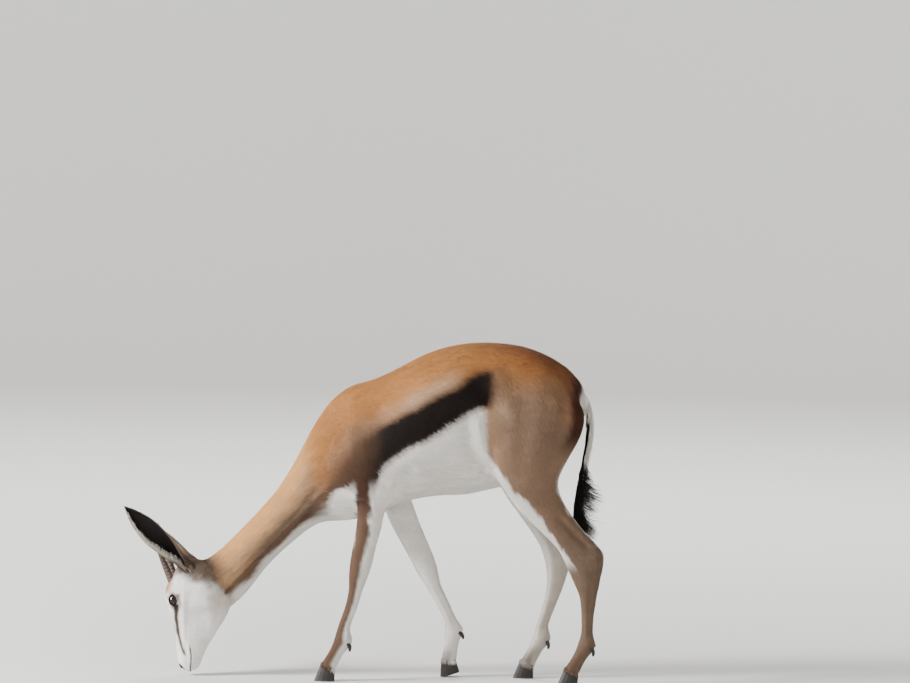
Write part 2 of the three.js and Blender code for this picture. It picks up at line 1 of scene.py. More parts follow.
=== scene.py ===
"""A grazing springbok ewe as a still, life-size model: skin, coat, eyes, horns and hooves."""
import math

import bmesh
import bpy
import numpy as np
from mathutils import Matrix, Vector
from mathutils.bvhtree import BVHTree
from mathutils.kdtree import KDTree


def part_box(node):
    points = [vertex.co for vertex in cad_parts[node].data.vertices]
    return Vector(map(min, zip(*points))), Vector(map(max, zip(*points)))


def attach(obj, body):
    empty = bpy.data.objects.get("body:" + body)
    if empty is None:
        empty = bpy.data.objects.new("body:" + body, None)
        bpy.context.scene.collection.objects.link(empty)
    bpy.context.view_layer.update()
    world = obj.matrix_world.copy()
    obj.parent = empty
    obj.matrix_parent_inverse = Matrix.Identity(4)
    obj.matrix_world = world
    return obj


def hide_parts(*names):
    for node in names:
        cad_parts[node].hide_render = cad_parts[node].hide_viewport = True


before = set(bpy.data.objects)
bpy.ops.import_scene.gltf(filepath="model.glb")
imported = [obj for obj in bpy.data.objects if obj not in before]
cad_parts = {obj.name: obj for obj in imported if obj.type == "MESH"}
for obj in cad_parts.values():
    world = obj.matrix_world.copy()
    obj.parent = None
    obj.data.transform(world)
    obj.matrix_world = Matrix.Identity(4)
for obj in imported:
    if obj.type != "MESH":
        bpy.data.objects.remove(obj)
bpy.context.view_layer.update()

# Places in the side view are in metres in a drawing whose X starts SHIFT before the frame's.
# The near hind toe stands at TOE_X in that drawing.
TOE_X = 0.385
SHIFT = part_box("hindleg_left_hoof_outer")[0].x - TOE_X

LEGS = ("foreleg_left", "foreleg_right", "hindleg_left", "hindleg_right")
FLESH = ("torso", "neck", "head", *LEGS)
PARTS = (*FLESH, "tail", "ear_left", "ear_right")
PART = {name: index for index, name in enumerate(PARTS)}
SIDES = {"left": 1, "right": -1}  # along the head's Y, which is the frame's -Y

# Head, in its own frame: X from the poll to the muzzle, Y to its left, Z to its brow
HEAD_TILT = math.radians(2)
EYE_X, EYE_Z = 0.088, 0.021
EYE_RADIUS = 0.015
LID = {"half_wide": 0.0125, "half_high": 0.0072, "slant": math.radians(14), "thick": 0.0019}
LID_REACH = 0.026  # the lids and their folds end this far from the eye's centre
EYE_SOCKET = 0.030
MOUTH = {"corner": (0.184, -0.0150), "sag": (0.222, -0.0275), "front": (0.262, -0.0135)}
NOSTRIL = {"place": (0.2405, 0.0105, 0.0012), "long": 0.0072, "wide": 0.0030, "turn": 0.55}
NOSTRIL_DEEP = 0.012  # how far its forms reach to each side
NOSE_X = 0.228  # the nose's forms begin here

# Skin
GROWN = 0.0007  # closes the thin cuts between neighbouring solids
VOXEL = 0.0066
FINE = 2.6  # how much finer the skin of the head is
FINE_CENTRE = (-0.438, 0.0, 0.205)  # in the drawing
FINE_RADIUS = 0.205

# Coat, by part: its depth, a tuft's length and width, how far its tip stands off, and the tufts on
# each square centimetre
COAT = {
    "torso": (0.0030, 0.0135, 0.0018, 0.0013, 29.0),
    "neck": (0.0030, 0.0155, 0.0016, 0.0012, 34.0),
    "head": (0.0012, 0.0058, 0.0011, 0.0006, 47.0),
    "foreleg": (0.0010, 0.0085, 0.0014, 0.0006, 30.0),
    "hindleg": (0.0015, 0.0105, 0.0016, 0.0009, 30.0),
    "tail": (0.0030, 0.0150, 0.0024, 0.0036, 26.0),
    "ear": (0.0008, 0.0046, 0.0011, 0.0005, 34.0),
}
COATS = np.array([COAT[name.split("_")[0]] for name in PARTS])
MOST_TRIANGLES = 190_000  # in one coat piece
TUFT = {
    "sunk": 0.00025,
    "thick": 0.13,
    "tilt": 0.10,
    "own_tip": 0.85,  # how much of the colour at the tip's own place it takes
    "light": (0.95, 0.95, 0.97, 1.04),  # of its corners, the tip last
}
PATCH = 0.0015  # half of a tuft's patch in the unwrap


def srgb(red, green, blue):
    """A colour picked as 0 to 255 on screen, in linear light"""
    share = np.array([red, green, blue]) / 255
    return np.where(share <= 0.04045, share / 12.92, ((share + 0.055) / 1.055) ** 2.4)


COLOURS = {
    "back": srgb(168, 112, 62),
    "ridge": srgb(112, 62, 34),
    "flank": srgb(166, 130, 100),
    "pale": srgb(186, 156, 128),
    "haunch": srgb(124, 99, 80),
    "haze_and_shade": srgb(74, 54, 42),
    "band": srgb(20, 12, 9),
    "belly": srgb(226, 221, 213),
    "shoulder": srgb(62, 38, 27),
    "rump_edge": srgb(58, 30, 19),
    "neck_top": srgb(204, 148, 92),
    "neck_side": srgb(170, 134, 98),
    "neck_low_shade": srgb(116, 95, 78),
    "throat": srgb(206, 197, 184),
    "leg_front": srgb(94, 72, 57),
    "shank": srgb(110, 90, 74),
    "inner_leg_shade": srgb(184, 174, 162),
    "pastern": srgb(86, 64, 50),
    "face": srgb(240, 237, 231),
    "crown": srgb(160, 118, 82),
    "bridge": srgb(198, 170, 138),
    "nape": srgb(86, 71, 61),
    "spot": srgb(172, 122, 82),
    "face_stripe": srgb(58, 36, 27),
    "socket": srgb(104, 70, 50),
    "lid": srgb(28, 20, 17),
    "nose": srgb(46, 38, 35),
    "ear_back": srgb(124, 106, 88),
    "ear_tip": srgb(62, 48, 40),
    "ear_inside": srgb(20, 16, 15),
    "fringe": srgb(222, 212, 200),
    "tail": srgb(228, 223, 215),
    "tuft": srgb(18, 13, 11),
    "eye_white": srgb(44, 32, 28),
    "iris": srgb(46, 26, 15),
    "iris_edge": srgb(18, 11, 8),
    "pupil": srgb(5, 4, 5),
    "horn": srgb(100, 84, 72),
    "horn_tip": srgb(52, 42, 36),
    "hoof": srgb(30, 25, 23),
    "hoof_top": srgb(58, 48, 42),
    "hoof_worn": srgb(84, 75, 66),
}


def step(low, high, value):
    """0 below low, 1 above high, smooth between, and the other way round where low is above high"""
    share = np.clip((value - low) / (high - low), 0, 1)
    return share * share * (3 - 2 * share)


def swell(value, middle, width, height=1.0):
    """A soft rise to a height round a middle"""
    return height * np.exp(-(((value - middle) / width) ** 2))


def unit(vectors):
    return vectors / np.maximum(np.linalg.norm(vectors, axis=-1, keepdims=True), 1e-12)


def ripple(points, size, seed):
    """A smooth random wave between about -1 and 1, with crests about size apart"""
    draw = np.random.default_rng(seed)
    total = np.zeros(len(points))
    for _ in range(7):
        heading = unit(draw.normal(size=3)) * 2 * np.pi / (size * draw.uniform(0.7, 1.4))
        total += np.sin(points @ heading + draw.uniform(0, 2 * np.pi))
    return total / 2.6


# Mesh arrays


def read(items, name, width, kind=float):
    values = np.empty(len(items) * width, kind)
    items.foreach_get(name, values)
    return values.reshape(-1, width) if width > 1 else values


def mesh_of(name, points, faces):
    """A mesh from points and faces that all have the same number of corners"""
    mesh = bpy.data.meshes.new(name)
    faces = np.asarray(faces, np.int32)
    mesh.vertices.add(len(points))
    mesh.vertices.foreach_set("co", np.asarray(points, np.float32).ravel())
    mesh.loops.add(faces.size)
    mesh.loops.foreach_set("vertex_index", faces.ravel())
    mesh.polygons.add(len(faces))
    mesh.polygons.foreach_set("loop_start", np.arange(0, faces.size, faces.shape[1], dtype=np.int32))
    mesh.update(calc_edges=True)
    mesh.shade_smooth()
    return mesh


def object_of(name, mesh):
    made = bpy.data.objects.new(name, mesh)
    bpy.context.scene.collection.objects.link(made)
    return made


def piece(name, mesh, material, slot, *nodes):
    """A shown object that rides with the animal and stands for CAD nodes"""
    made = object_of(name, mesh)
    mesh.materials.append(material)
    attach(made, "root")
    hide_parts(*nodes)
    return made


def triangles_of(mesh):
    mesh.calc_loop_triangles()
    return read(mesh.loop_triangles, "vertices", 3, np.int32)


def merged(mesh):
    """A CAD mesh with its corners joined, as points and triangles"""
    points = read(mesh.vertices, "co", 3)
    unique, index = np.unique(np.round(points, 6), axis=0, return_inverse=True)
    return unique, index.ravel()[triangles_of(mesh)]


def halved(points, triangles):
    """Each triangle as four"""
    corners = triangles[:, [0, 1, 1, 2, 2, 0]].reshape(-1, 2)
    edges, index = np.unique(np.sort(corners, axis=1), axis=0, return_inverse=True)
    middles = points[edges].mean(1)
    ab, bc, ca = (index.reshape(-1, 3) + len(points)).T
    a, b, c = triangles.T
    parts = [np.stack(t, 1) for t in ((a, ab, ca), (ab, b, bc), (ca, bc, c), (ab, bc, ca))]
    return np.concatenate([points, middles]), np.concatenate(parts)


def total_by(index, values, count):
    return np.stack([np.bincount(index, values[:, k], count) for k in range(values.shape[1])], 1)


def normals_of(points, triangles):
    a, b, c = (points[triangles[:, k]] for k in range(3))
    facing = np.cross(b - a, c - a)
    return unit(sum(total_by(triangles[:, k], facing, len(points)) for k in range(3)))


def edges_of(triangles):
    corners = np.sort(triangles[:, [0, 1, 1, 2, 2, 0]].reshape(-1, 2), axis=1)
    return np.unique(corners, axis=0)


def neighbour_mean(values, edges):
    count = len(values)
    total = total_by(edges[:, 0], values[edges[:, 1]], count)
    total += total_by(edges[:, 1], values[edges[:, 0]], count)
    degree = np.bincount(edges.ravel(), minlength=count)[:, None]
    return total / np.maximum(degree, 1)


def spread(values, edges, rounds):
    for _ in range(rounds):
        values = 0.5 * values + 0.5 * neighbour_mean(values, edges)
    return values


def smoothed(points, edges, rounds, weight):
    """Smooths without shrinking: each inward round is followed by an outward one."""
    for _ in range(rounds):
        for pull in (0.52, -0.54):
            points = points + pull * weight * (neighbour_mean(points, edges) - points)
    return points


def curve_at(stations, shares):
    """Rows of numbers at evenly spaced stations, read at any share by a smooth curve"""
    stations = np.asarray(stations, float)
    last = len(stations) - 1
    before, beyond = 2 * stations[:1] - stations[1:2], 2 * stations[-1:] - stations[-2:-1]
    ends = np.concatenate([before, stations, beyond])
    place = np.clip(np.asarray(shares, float), 0, 1) * last
    first = np.minimum(place.astype(int), last - 1)
    t = (place - first)[:, None]
    a, b, c, d = (ends[first + k] for k in range(4))
    return b + 0.5 * t * (c - a + t * (2 * a - 5 * b + 4 * c - d + t * (3 * (b - c) + d - a)))


def ring_quads(rings, sides):
    """Faces between rings of points that follow each other"""
    ring = np.arange(rings - 1)[:, None] * sides
    k = np.arange(sides)[None]
    after = (k + 1) % sides
    beyond = ring + sides
    return np.stack([ring + k, ring + after, beyond + after, beyond + k], -1).reshape(-1, 4)


def tube_faces(rings, sides):
    """Faces of a tube of rings that is closed at both ends"""
    near = np.arange(sides // 2 - 1)
    far = sides - 1 - near
    first = np.stack([near + 1, near, far, far - 1], -1)
    last = np.stack([near, near + 1, far - 1, far], -1) + (rings - 1) * sides
    return np.concatenate([ring_quads(rings, sides), first, last])


def cut(quads):
    """Each four-sided face as two triangles"""
    return np.concatenate([quads[:, :3], quads[:, [0, 2, 3]]])


def fan(tip, ring):
    """Triangles from one point to a ring of points"""
    return np.stack([np.full(len(ring), tip), ring, np.roll(ring, -1)], 1)


def outward(points, faces):
    """Faces turned so that a closed mesh's sides look outwards"""
    a, b, c = (points[faces[:, k]] for k in range(3))
    volume = np.einsum("ij,ij->i", a, np.cross(b, c)).sum()
    return faces if volume > 0 else faces[:, ::-1]


def swept(paths, facing, half_width, half_thick, sides):
    """Closed bars along many paths at once. paths and facing are (bars, rings, 3), where facing is
    the way the flat side looks, and the sizes are (bars, rings)."""
    along = unit(np.gradient(paths, axis=1))
    across = unit(np.cross(along, facing))
    out = np.cross(across, along)
    turn = (np.arange(sides) + 0.5) / sides * 2 * np.pi
    wide = across[:, :, None] * (half_width[:, :, None] * np.cos(turn))[..., None]
    thick = out[:, :, None] * (half_thick[:, :, None] * np.sin(turn))[..., None]
    points = paths[:, :, None] + wide + thick
    bars, rings = half_width.shape
    faces = tube_faces(rings, sides)[None, :, ::-1] + (np.arange(bars) * rings * sides)[:, None, None]
    return points.reshape(-1, 3), faces.reshape(-1, 4)


# The head's frame, from the places of the eyes


def eye_middle(word):
    low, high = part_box(f"eye_{word}")
    return np.array((low + high) / 2)


def head_frame():
    """The poll, the head's axes and half the distance between the eyes"""
    left, right = (eye_middle(word) for word in SIDES)
    ahead = np.array([-math.sin(HEAD_TILT), 0, -math.cos(HEAD_TILT)])
    across = unit(left - right)
    brow = unit(np.cross(ahead, across))
    poll = (left + right) / 2 - EYE_X * ahead - EYE_Z * brow
    return poll, np.stack([ahead, across, brow]), np.linalg.norm(left - right) / 2


POLL, HEAD_AXES, EYE_Y = head_frame()


def to_head(points):
    return (points - POLL) @ HEAD_AXES.T


def from_head(points):
    return np.asarray(points) @ HEAD_AXES + POLL


def drawn(points):
    """X and Z in the drawing and the distance from the middle plane"""
    return points[:, 0] - SHIFT, np.abs(points[:, 1]), points[:, 2]


# Ears: share of the length, half width, depth of the cup and the half angle it wraps

EAR_ROOT = (0.012, 0.028, -0.003)
EARS = {
    "left": {"tip": (-0.116, 0.084, 0.132), "open": (0, -1, 0), "lower": -1},
    "right": {"tip": (-0.076, -0.078, 0.168), "open": (-0.35, 1, 0), "lower": 1},
}
EAR_BOW = 0.014
EAR_WALL = (0.0026, 0.0014)  # its thickness at the root and at the tip
EAR_INSET = 0.0012
EAR_RINGS, EAR_SIDES = 72, 40
EAR_SHAPE = (
    (0.0, 0.013, 0.013, 160),
    (0.12, 0.016, 0.017, 150),
    (0.3, 0.022, 0.021, 118),
    (0.5, 0.026, 0.021, 98),
    (0.68, 0.0245, 0.017, 88),
    (0.84, 0.016, 0.010, 82),
    (0.95, 0.007, 0.004, 80),
    (1.0, 0.0016, 0.0012, 80),
)


def ear_line(word):
    """The root, the axis, the way the cup opens and the way across, all in the frame"""
    root = from_head([EAR_ROOT[0], SIDES[word] * EAR_ROOT[1], EAR_ROOT[2]])
    axis = from_head(EARS[word]["tip"]) - root
    opening = np.array(EARS[word]["open"], float)
    opening = unit(opening - axis * (opening @ axis) / (axis @ axis))
    return root, axis, opening, unit(np.cross(axis, opening))


def ear_middle(word, share):
    """The bowed middle line of an ear"""
    root, axis, opening, _ = ear_line(word)
    bow = EAR_BOW * np.sin(np.pi * share) ** 2
    return root + axis * share[..., None] + opening * bow[..., None]


def ear_sizes(share):
    table = np.array(EAR_SHAPE)
    return [np.interp(share, table[:, 0], table[:, k]) for k in (1, 2, 3)]


def ear_place(word, points):
    """Share of the length, angle round the cup as a share of its wrap, and the way outwards"""
    root, axis, opening, across = ear_line(word)
    share = (points - root) @ axis / (axis @ axis)
    out = points - ear_middle(word, share)
    half, depth, wrap = ear_sizes(np.clip(share, 0, 1))
    angle = np.arctan2(out @ across / half, -(out @ opening) / depth)
    return share, angle / np.radians(wrap), unit(out)


def ear_shell(word):
    """A closed, thin, cupped ear whose root is sunk in the head"""
    _, _, opening, across = ear_line(word)
    share = curve_at(np.array(EAR_SHAPE)[:, :1], np.linspace(0, 1, EAR_RINGS))[:, 0]
    half, depth, wrap = curve_at(np.array(EAR_SHAPE)[:, 1:], np.linspace(0, 1, EAR_RINGS)).T
    middle = ear_middle(word, share)
    arc = np.linspace(-1, 1, EAR_SIDES)

    def edge(inset, squeeze):
        angle = np.radians(wrap)[:, None] * arc[None] * squeeze
        wide = np.maximum(half - inset, 0.0003)[:, None] * np.sin(angle)
        deep = -np.maximum(depth - inset * 0.8, 0.0002)[:, None] * np.cos(angle)
        return middle[:, None] + wide[..., None] * across + deep[..., None] * opening

    wall = EAR_WALL[0] + (EAR_WALL[1] - EAR_WALL[0]) * share
    wall = np.minimum(wall, half * 0.4)
    outset = np.minimum(EAR_INSET, half * 0.3)
    rings = np.concatenate([edge(outset, 0.985), edge(outset + wall, 0.97)[:, ::-1]], axis=1)
    points = rings.reshape(-1, 3)
    return points, outward(points, tube_faces(*rings.shape[:2]))


# Tail: middle, and the half sizes of its core, down from its root

TAIL_LINE = (
    (0.420, 0.655), (0.438, 0.632), (0.449, 0.594), (0.447, 0.550),
    (0.439, 0.505), (0.432, 0.468), (0.426, 0.430), (0.422, 0.400),
)
TAIL_CORE = (0.0080, 0.0078, 0.0070, 0.0062, 0.0055, 0.0052, 0.0045, 0.0022)
TAIL_RINGS, TAIL_SIDES = 40, 12


def tail_at(share):
    x, z = curve_at(TAIL_LINE, share).T
    return np.stack([x + SHIFT, np.zeros(len(x)), z], -1)


def tail_core():
    """The tail's flesh, a closed bar of triangles"""
    share = np.linspace(0, 1, TAIL_RINGS)
    size = curve_at(np.array(TAIL_CORE)[:, None], share).T
    facing = np.broadcast_to([0.0, 1.0, 0.0], (1, TAIL_RINGS, 3))
    points, faces = swept(tail_at(share)[None], facing, size, size * 0.85, TAIL_SIDES)
    return points, cut(faces)


# Skin


def warp(points, back=False):
    """Enlarges the space round the head, so that even voxels make finer skin there"""
    centre = np.array(FINE_CENTRE) + [SHIFT, 0, 0]
    away = points - centre
    far = np.linalg.norm(away, axis=1, keepdims=True)
    extra = (FINE - 1) * FINE_RADIUS
    if back:
        true = np.where(far > FINE * FINE_RADIUS, far - extra, far / FINE)
        return centre + away * true / np.maximum(far, 1e-9)
    grown = np.where(far > FINE_RADIUS, far + extra, far * FINE)
    return centre + away * grown / np.maximum(far, 1e-9)


def flesh():
    """All flesh as overlapping closed meshes, with the part that each point belongs to"""
    solids = []
    for node in (*FLESH, "eye_left", "eye_right"):
        points, triangles = halved(*halved(*merged(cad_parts[node].data)))
        points = points + GROWN * normals_of(points, triangles)
        solids.append((PART.get(node, PART["head"]), points, triangles))
    solids.append((PART["tail"], *tail_core()))
    before = np.cumsum([0] + [len(points) for _, points, _ in solids])
    return (
        np.concatenate([points for _, points, _ in solids]),
        np.concatenate([triangles + count for (_, _, triangles), count in zip(solids, before)]),
        np.concatenate([np.full(len(points), part) for part, points, _ in solids]),
    )


def voxel_skin(points, triangles):
    """Points and quads of one surface round overlapping meshes"""
    source = object_of("source", mesh_of("source", warp(points), triangles))
    voxels = source.modifiers.new("voxels", "REMESH")
    voxels.mode = "VOXEL"
    voxels.voxel_size = VOXEL
    made = source.evaluated_get(bpy.context.evaluated_depsgraph_get()).to_mesh()
    found = read(made.vertices, "co", 3)
    quads = read(made.loops, "vertex_index", 1, np.int32).reshape(-1, 4)
    bpy.data.objects.remove(source)
    return warp(found, back=True), quads


def refine(mesh, chosen):
    """Halves the edges whose two ends are chosen by a test on places in the head's frame"""
    places = read(mesh.vertices, "co", 3)
    inside = chosen(to_head(places))
    work = bmesh.new()
    work.from_mesh(mesh)
    edges = [e for e in work.edges if inside[e.verts[0].index] and inside[e.verts[1].index]]
    bmesh.ops.subdivide_edges(work, edges=edges, cuts=1, use_grid_fill=True)
    bmesh.ops.triangulate(work, faces=[f for f in work.faces if len(f.verts) > 4])
    work.to_mesh(mesh)
    work.free()


def eye_field(local):
    """How far outside the almond of the lids a place is, its height over the almond's middle, its way
    from the eye's centre, and whether it is on the eye's open side"""
    side = np.where(local[:, 1] > 0, 1.0, -1.0)
    centre = np.stack([np.full(len(local), EYE_X), side * EYE_Y, np.full(len(local), EYE_Z)], 1)
    from_eye = local - centre
    turn = LID["slant"]
    u = from_eye[:, 0] * math.cos(turn) - from_eye[:, 2] * math.sin(turn)
    v = from_eye[:, 0] * math.sin(turn) + from_eye[:, 2] * math.cos(turn)
    across = np.clip(np.abs(u) / LID["half_wide"], 0, 1)
    edge = LID["half_high"] * (1 - across**2.2)
    slope = LID["half_high"] * 2.2 * across**1.2 / LID["half_wide"]
    over = (np.abs(v) - edge) / np.sqrt(1 + slope * slope)
    past = np.hypot(np.maximum(np.abs(u) - LID["half_wide"], 0), v)
    outside = np.where(np.abs(u) > LID["half_wide"], past, over)
    return outside, v, from_eye, from_eye[:, 1] * side + 0.004 > 0


def lids_near(local, reach):
    """How far outside the lids a place is, and whether it is within reach of the eye"""
    outside, _, from_eye, open_side = eye_field(local)
    return outside, (np.linalg.norm(from_eye, axis=1) < reach) & open_side


def mouth_height(x):
    """The height of the mouth's line in the head's frame"""
    share = np.clip((x - MOUTH["corner"][0]) / (MOUTH["front"][0] - MOUTH["corner"][0]), 0, 1)
    heights = [MOUTH[k][1] for k in ("corner", "sag", "front")]
    return heights[0] * (1 - share) ** 2 + 2 * heights[1] * share * (1 - share) + heights[2] * share**2


def nostril_field(local):
    """How far into the comma of a nostril a place lies, 1 in its middle and 0 at its rim, and whether
    it is close to it sideways"""
    x, y, z = NOSTRIL["place"]
    turn = NOSTRIL["turn"]
    u = local[:, 0] - x
    v = local[:, 2] - z - 0.35 * np.abs(u)
    lean = u * math.cos(turn) - v * math.sin(turn)
    rise = u * math.sin(turn) + v * math.cos(turn)
    into = 1 - (lean / NOSTRIL["long"]) ** 2 - (rise / NOSTRIL["wide"]) ** 2
    return into, np.abs(np.abs(local[:, 1]) - y) < NOSTRIL_DEEP


def bump(local, middle, size, height):
    """A soft swelling on both sides of the head"""
    off = (np.stack([local[:, 0], np.abs(local[:, 1]), local[:, 2]], 1) - middle) / size
    return height * np.exp(-(off * off).sum(1))


# Forms of the head that its solids leave out: middle, size and height of soft swellings
HEAD_FORMS = (
    ((0.112, 0.030, 0.022), (0.018, 0.018, 0.011), 0.0042),  # in front of the eye
    ((0.060, 0.036, 0.020), (0.016, 0.018, 0.014), 0.0036),  # behind the eye
    ((0.082, 0.030, 0.040), (0.022, 0.016, 0.010), 0.0022),  # brow
    ((0.092, 0.038, -0.001), (0.030, 0.022, 0.008), 0.0026),  # cheekbone
    ((0.138, 0.030, -0.003), (0.030, 0.020, 0.006), 0.0020),  # crest in front of it
    ((0.074, 0.040, -0.048), (0.030, 0.030, 0.028), 0.0034),  # chewing muscle
    ((0.118, 0.034, -0.036), (0.014, 0.030, 0.024), -0.0030),  # in front of that muscle
    ((0.152, 0.028, 0.010), (0.026, 0.020, 0.006), -0.0018),  # side of the nose
    ((0.108, 0.038, 0.008), (0.009, 0.020, 0.004), -0.0014),  # tear duct
    ((0.034, 0.036, 0.010), (0.014, 0.020, 0.012), -0.0022),  # temple
    ((0.140, 0.020, -0.062), (0.040, 0.020, 0.008), 0.0014),  # jaw's edge
    ((0.220, 0.020, -0.004), (0.022, 0.020, 0.009), 0.0018),  # upper lip
    ((0.238, 0.013, 0.007), (0.009, 0.010, 0.006), 0.0022),  # wing of the nostril
    ((0.232, 0.010, -0.032), (0.014, 0.020, 0.008), 0.0014),  # chin
)


def head_forms(local):
    """Outward moves of the head's skin"""
    return sum(bump(local, *form) for form in HEAD_FORMS)


# Forms of the body: lines of the side view with a width and a height
BODY_FORMS = (
    (((-0.088, 0.625), (-0.082, 0.520)), 0.011, 0.0030),  # ridge of the shoulder blade
    (((-0.128, 0.580), (-0.122, 0.520)), 0.020, -0.0030),
    (((-0.030, 0.610), (-0.030, 0.540)), 0.022, -0.0036),
    (((-0.040, 0.500), (0.000, 0.460)), 0.026, 0.0046),  # muscle above the elbow
    (((-0.108, 0.462), (-0.100, 0.440)), 0.022, 0.0034),  # point of the shoulder
    (((0.012, 0.436), (0.020, 0.428)), 0.011, 0.0034),  # elbow
    (((0.048, 0.470), (0.040, 0.425)), 0.014, -0.0036),  # behind the elbow
    (((0.196, 0.676), (0.224, 0.640)), 0.022, -0.0046),  # hollow of the flank
    (((0.238, 0.706), (0.250, 0.684)), 0.014, 0.0044),  # point of the hip
    (((0.262, 0.640), (0.262, 0.520)), 0.030, 0.0036),  # front of the thigh
    (((0.330, 0.640), (0.330, 0.520)), 0.034, 0.0034),  # back of the thigh
    (((0.394, 0.640), (0.366, 0.500), (0.372, 0.440)), 0.015, -0.0024),  # groove down the thigh
    (((0.300, 0.680), (0.296, 0.600)), 0.018, -0.0020),
    (((0.236, 0.512), (0.246, 0.486)), 0.022, 0.0034),  # knee
    (((0.198, 0.585), (0.206, 0.540), (0.226, 0.492), (0.256, 0.445)), 0.009, 0.0040),  # flank fold
    (((0.176, 0.575), (0.184, 0.520), (0.204, 0.470)), 0.012, -0.0024),
    (((0.424, 0.650), (0.426, 0.630)), 0.016, 0.0034),  # seat bone
    (((-0.300, 0.250), (-0.220, 0.340), (-0.150, 0.430)), 0.010, -0.0030),  # groove of the neck
    (((-0.320, 0.280), (-0.240, 0.370), (-0.170, 0.470)), 0.014, 0.0024),
    (((-0.160, 0.430), (-0.120, 0.395)), 0.016, 0.0024),  # breast
)

# Forms of the legs: heights from and to, share of the way from the front edge to the rear one,
# its width, and the height of the form
LEG_FORMS = {
    "fore": (
        (0.110, 0.195, 0.62, 0.13, -0.0016),  # between bone and tendon
        (0.232, 0.262, 0.35, 0.30, 0.0012),  # knee
        (0.200, 0.214, 0.50, 0.40, -0.0008),
        (0.290, 0.350, 0.30, 0.26, 0.0014),  # muscles of the forearm
        (0.285, 0.350, 0.62, 0.10, -0.0014),
        (0.090, 0.104, 0.62, 0.26, 0.0016),  # fetlock
        (0.046, 0.062, 0.50, 0.30, -0.0008),
    ),
    "hind": (
        (0.110, 0.215, 0.62, 0.13, -0.0017),
        (0.245, 0.268, 0.40, 0.22, 0.0016),  # hock
        (0.305, 0.370, 0.72, 0.12, -0.0046),  # in front of the heel's tendon
        (0.330, 0.400, 0.36, 0.24, 0.0026),
        (0.275, 0.285, 0.86, 0.12, 0.0012),
        (0.090, 0.104, 0.62, 0.26, 0.0016),
        (0.046, 0.062, 0.50, 0.30, -0.0008),
    ),
}


def leg_profile(name):
    """A leg's front and rear edges at even heights, measured on its solid"""
    points, triangles = merged(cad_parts[name].data)
    a, b = points[edges_of(triangles)].transpose(1, 0, 2)
    rows = []
    for height in np.linspace(points[:, 2].min() + 0.002, points[:, 2].max() - 0.002, 60):
        crossing = (a[:, 2] - height) * (b[:, 2] - height) < 0
        low, high = a[crossing], b[crossing]
        x = low[:, 0] + (high[:, 0] - low[:, 0]) * (height - low[:, 2]) / (high[:, 2] - low[:, 2])
        rows.append((height, x.min() - SHIFT, x.max() - SHIFT))
    return np.array(rows).T


LEG_PROFILES = {name: leg_profile(name) for name in LEGS}


def leg_across(name, x, z):
    """Share of the way from a leg's front edge to its rear edge"""
    heights, front, rear = LEG_PROFILES[name]
    front, rear = np.interp(z, heights, front), np.interp(z, heights, rear)
    return (x - front) / (rear - front)


def leg_front(name, z):
    heights, front, _ = LEG_PROFILES[name]
    return np.interp(z, heights, front)


def body_forms(points, normals, labels):
    """Outward moves of the skin of the body and legs, on the surfaces that face sideways"""
    x, _, z = drawn(points)
    move = sum(swell(gap(x, z, line), 0, width, height) for line, width, height in BODY_FORMS)
    for name in LEGS:
        across = leg_across(name, x, z)
        own = np.zeros(len(points))
        for low, high, place, width, height in LEG_FORMS[name[:4]]:
            level = step(low - 0.014, low + 0.004, z) * step(high + 0.014, high - 0.004, z)
            own += height * level * swell(across, place, width)
        move = np.where(labels == PART[name], move * step(0.36, 0.44, z) + own, move)
    return move * np.abs(normals[:, 1])


# Fine forms of the head: the middle, the width and the height of swellings
MOUTH_FORMS = ((0.0, 0.0008, -0.0018), (0.0030, 0.0022, 0.0013), (-0.0034, 0.0024, 0.0007))
LID_FORMS = ((0.0060, 0.0016, -0.0008), (0.0028, 0.0016, 0.0004))
LID_FOLD = (0.0082, 0.0014)


def carved_face(points, normals, head):
    """Swellings, mouth line and nostrils in the skin of the head"""
    local = to_head(points)
    move = np.where(head, head_forms(local), 0)
    height = local[:, 2] - mouth_height(local[:, 0])
    along = step(0.178, 0.198, local[:, 0])
    for middle, width, rise in MOUTH_FORMS:
        move += np.where(head, rise * along * swell(height, middle, width), 0)
    into, beside = nostril_field(local)
    near = head & beside & (local[:, 0] > NOSE_X)
    move -= np.where(near, 0.0050 * step(0.0, 0.9, into), 0)
    move += np.where(near, swell(into, -0.45, 0.4, 0.0010), 0)
    return points + normals * move[:, None]


def carved_lids(points, head):
    """Rims, folds and hollows of the lids, measured from the eye's centre"""
    local = to_head(points)
    outside, v, from_eye, open_side = eye_field(local)
    far = np.linalg.norm(from_eye, axis=1)
    lid = EYE_RADIUS + LID["thick"]
    for form in LID_FORMS:
        lid = lid + swell(outside, *form)
    hollow = EYE_RADIUS - 0.0016
    rim = hollow + (lid - hollow) * step(-0.0006, 0.0009, outside)
    keep = step(0.0040, 0.0095, outside)
    target = rim * (1 - keep) + far * keep
    fold = 0.0010 * np.where(v > 0, 1.0, 0.6) * swell(outside, *LID_FOLD)
    moved = from_head(local + unit(from_eye) * (target - far - fold)[:, None])
    return np.where((head & (far < EYE_SOCKET) & open_side)[:, None], moved, points)


def near_details(local, share):
    """Whether places are close to the lids, the mouth's line or a nostril"""
    outside, eyes = lids_near(local, LID_REACH)
    mouth = np.abs(local[:, 2] - mouth_height(local[:, 0])) < 0.009 * share
    into, beside = nostril_field(local)
    nose = (into > -6 * share) & beside & (local[:, 0] > 0.225)
    return (eyes & (outside < 0.011 * share)) | (mouth & (local[:, 0] > 0.170)) | nose


def tree_of(points):
    tree = KDTree(len(points))
    for index, place in enumerate(points):
        tree.insert(place, index)
    tree.balance()
    return tree


def nearest_part(points, sources, labels):
    """The label of the source that is nearest to each place"""
    tree = tree_of(sources)
    return labels[[tree.find(place)[1] for place in points]]


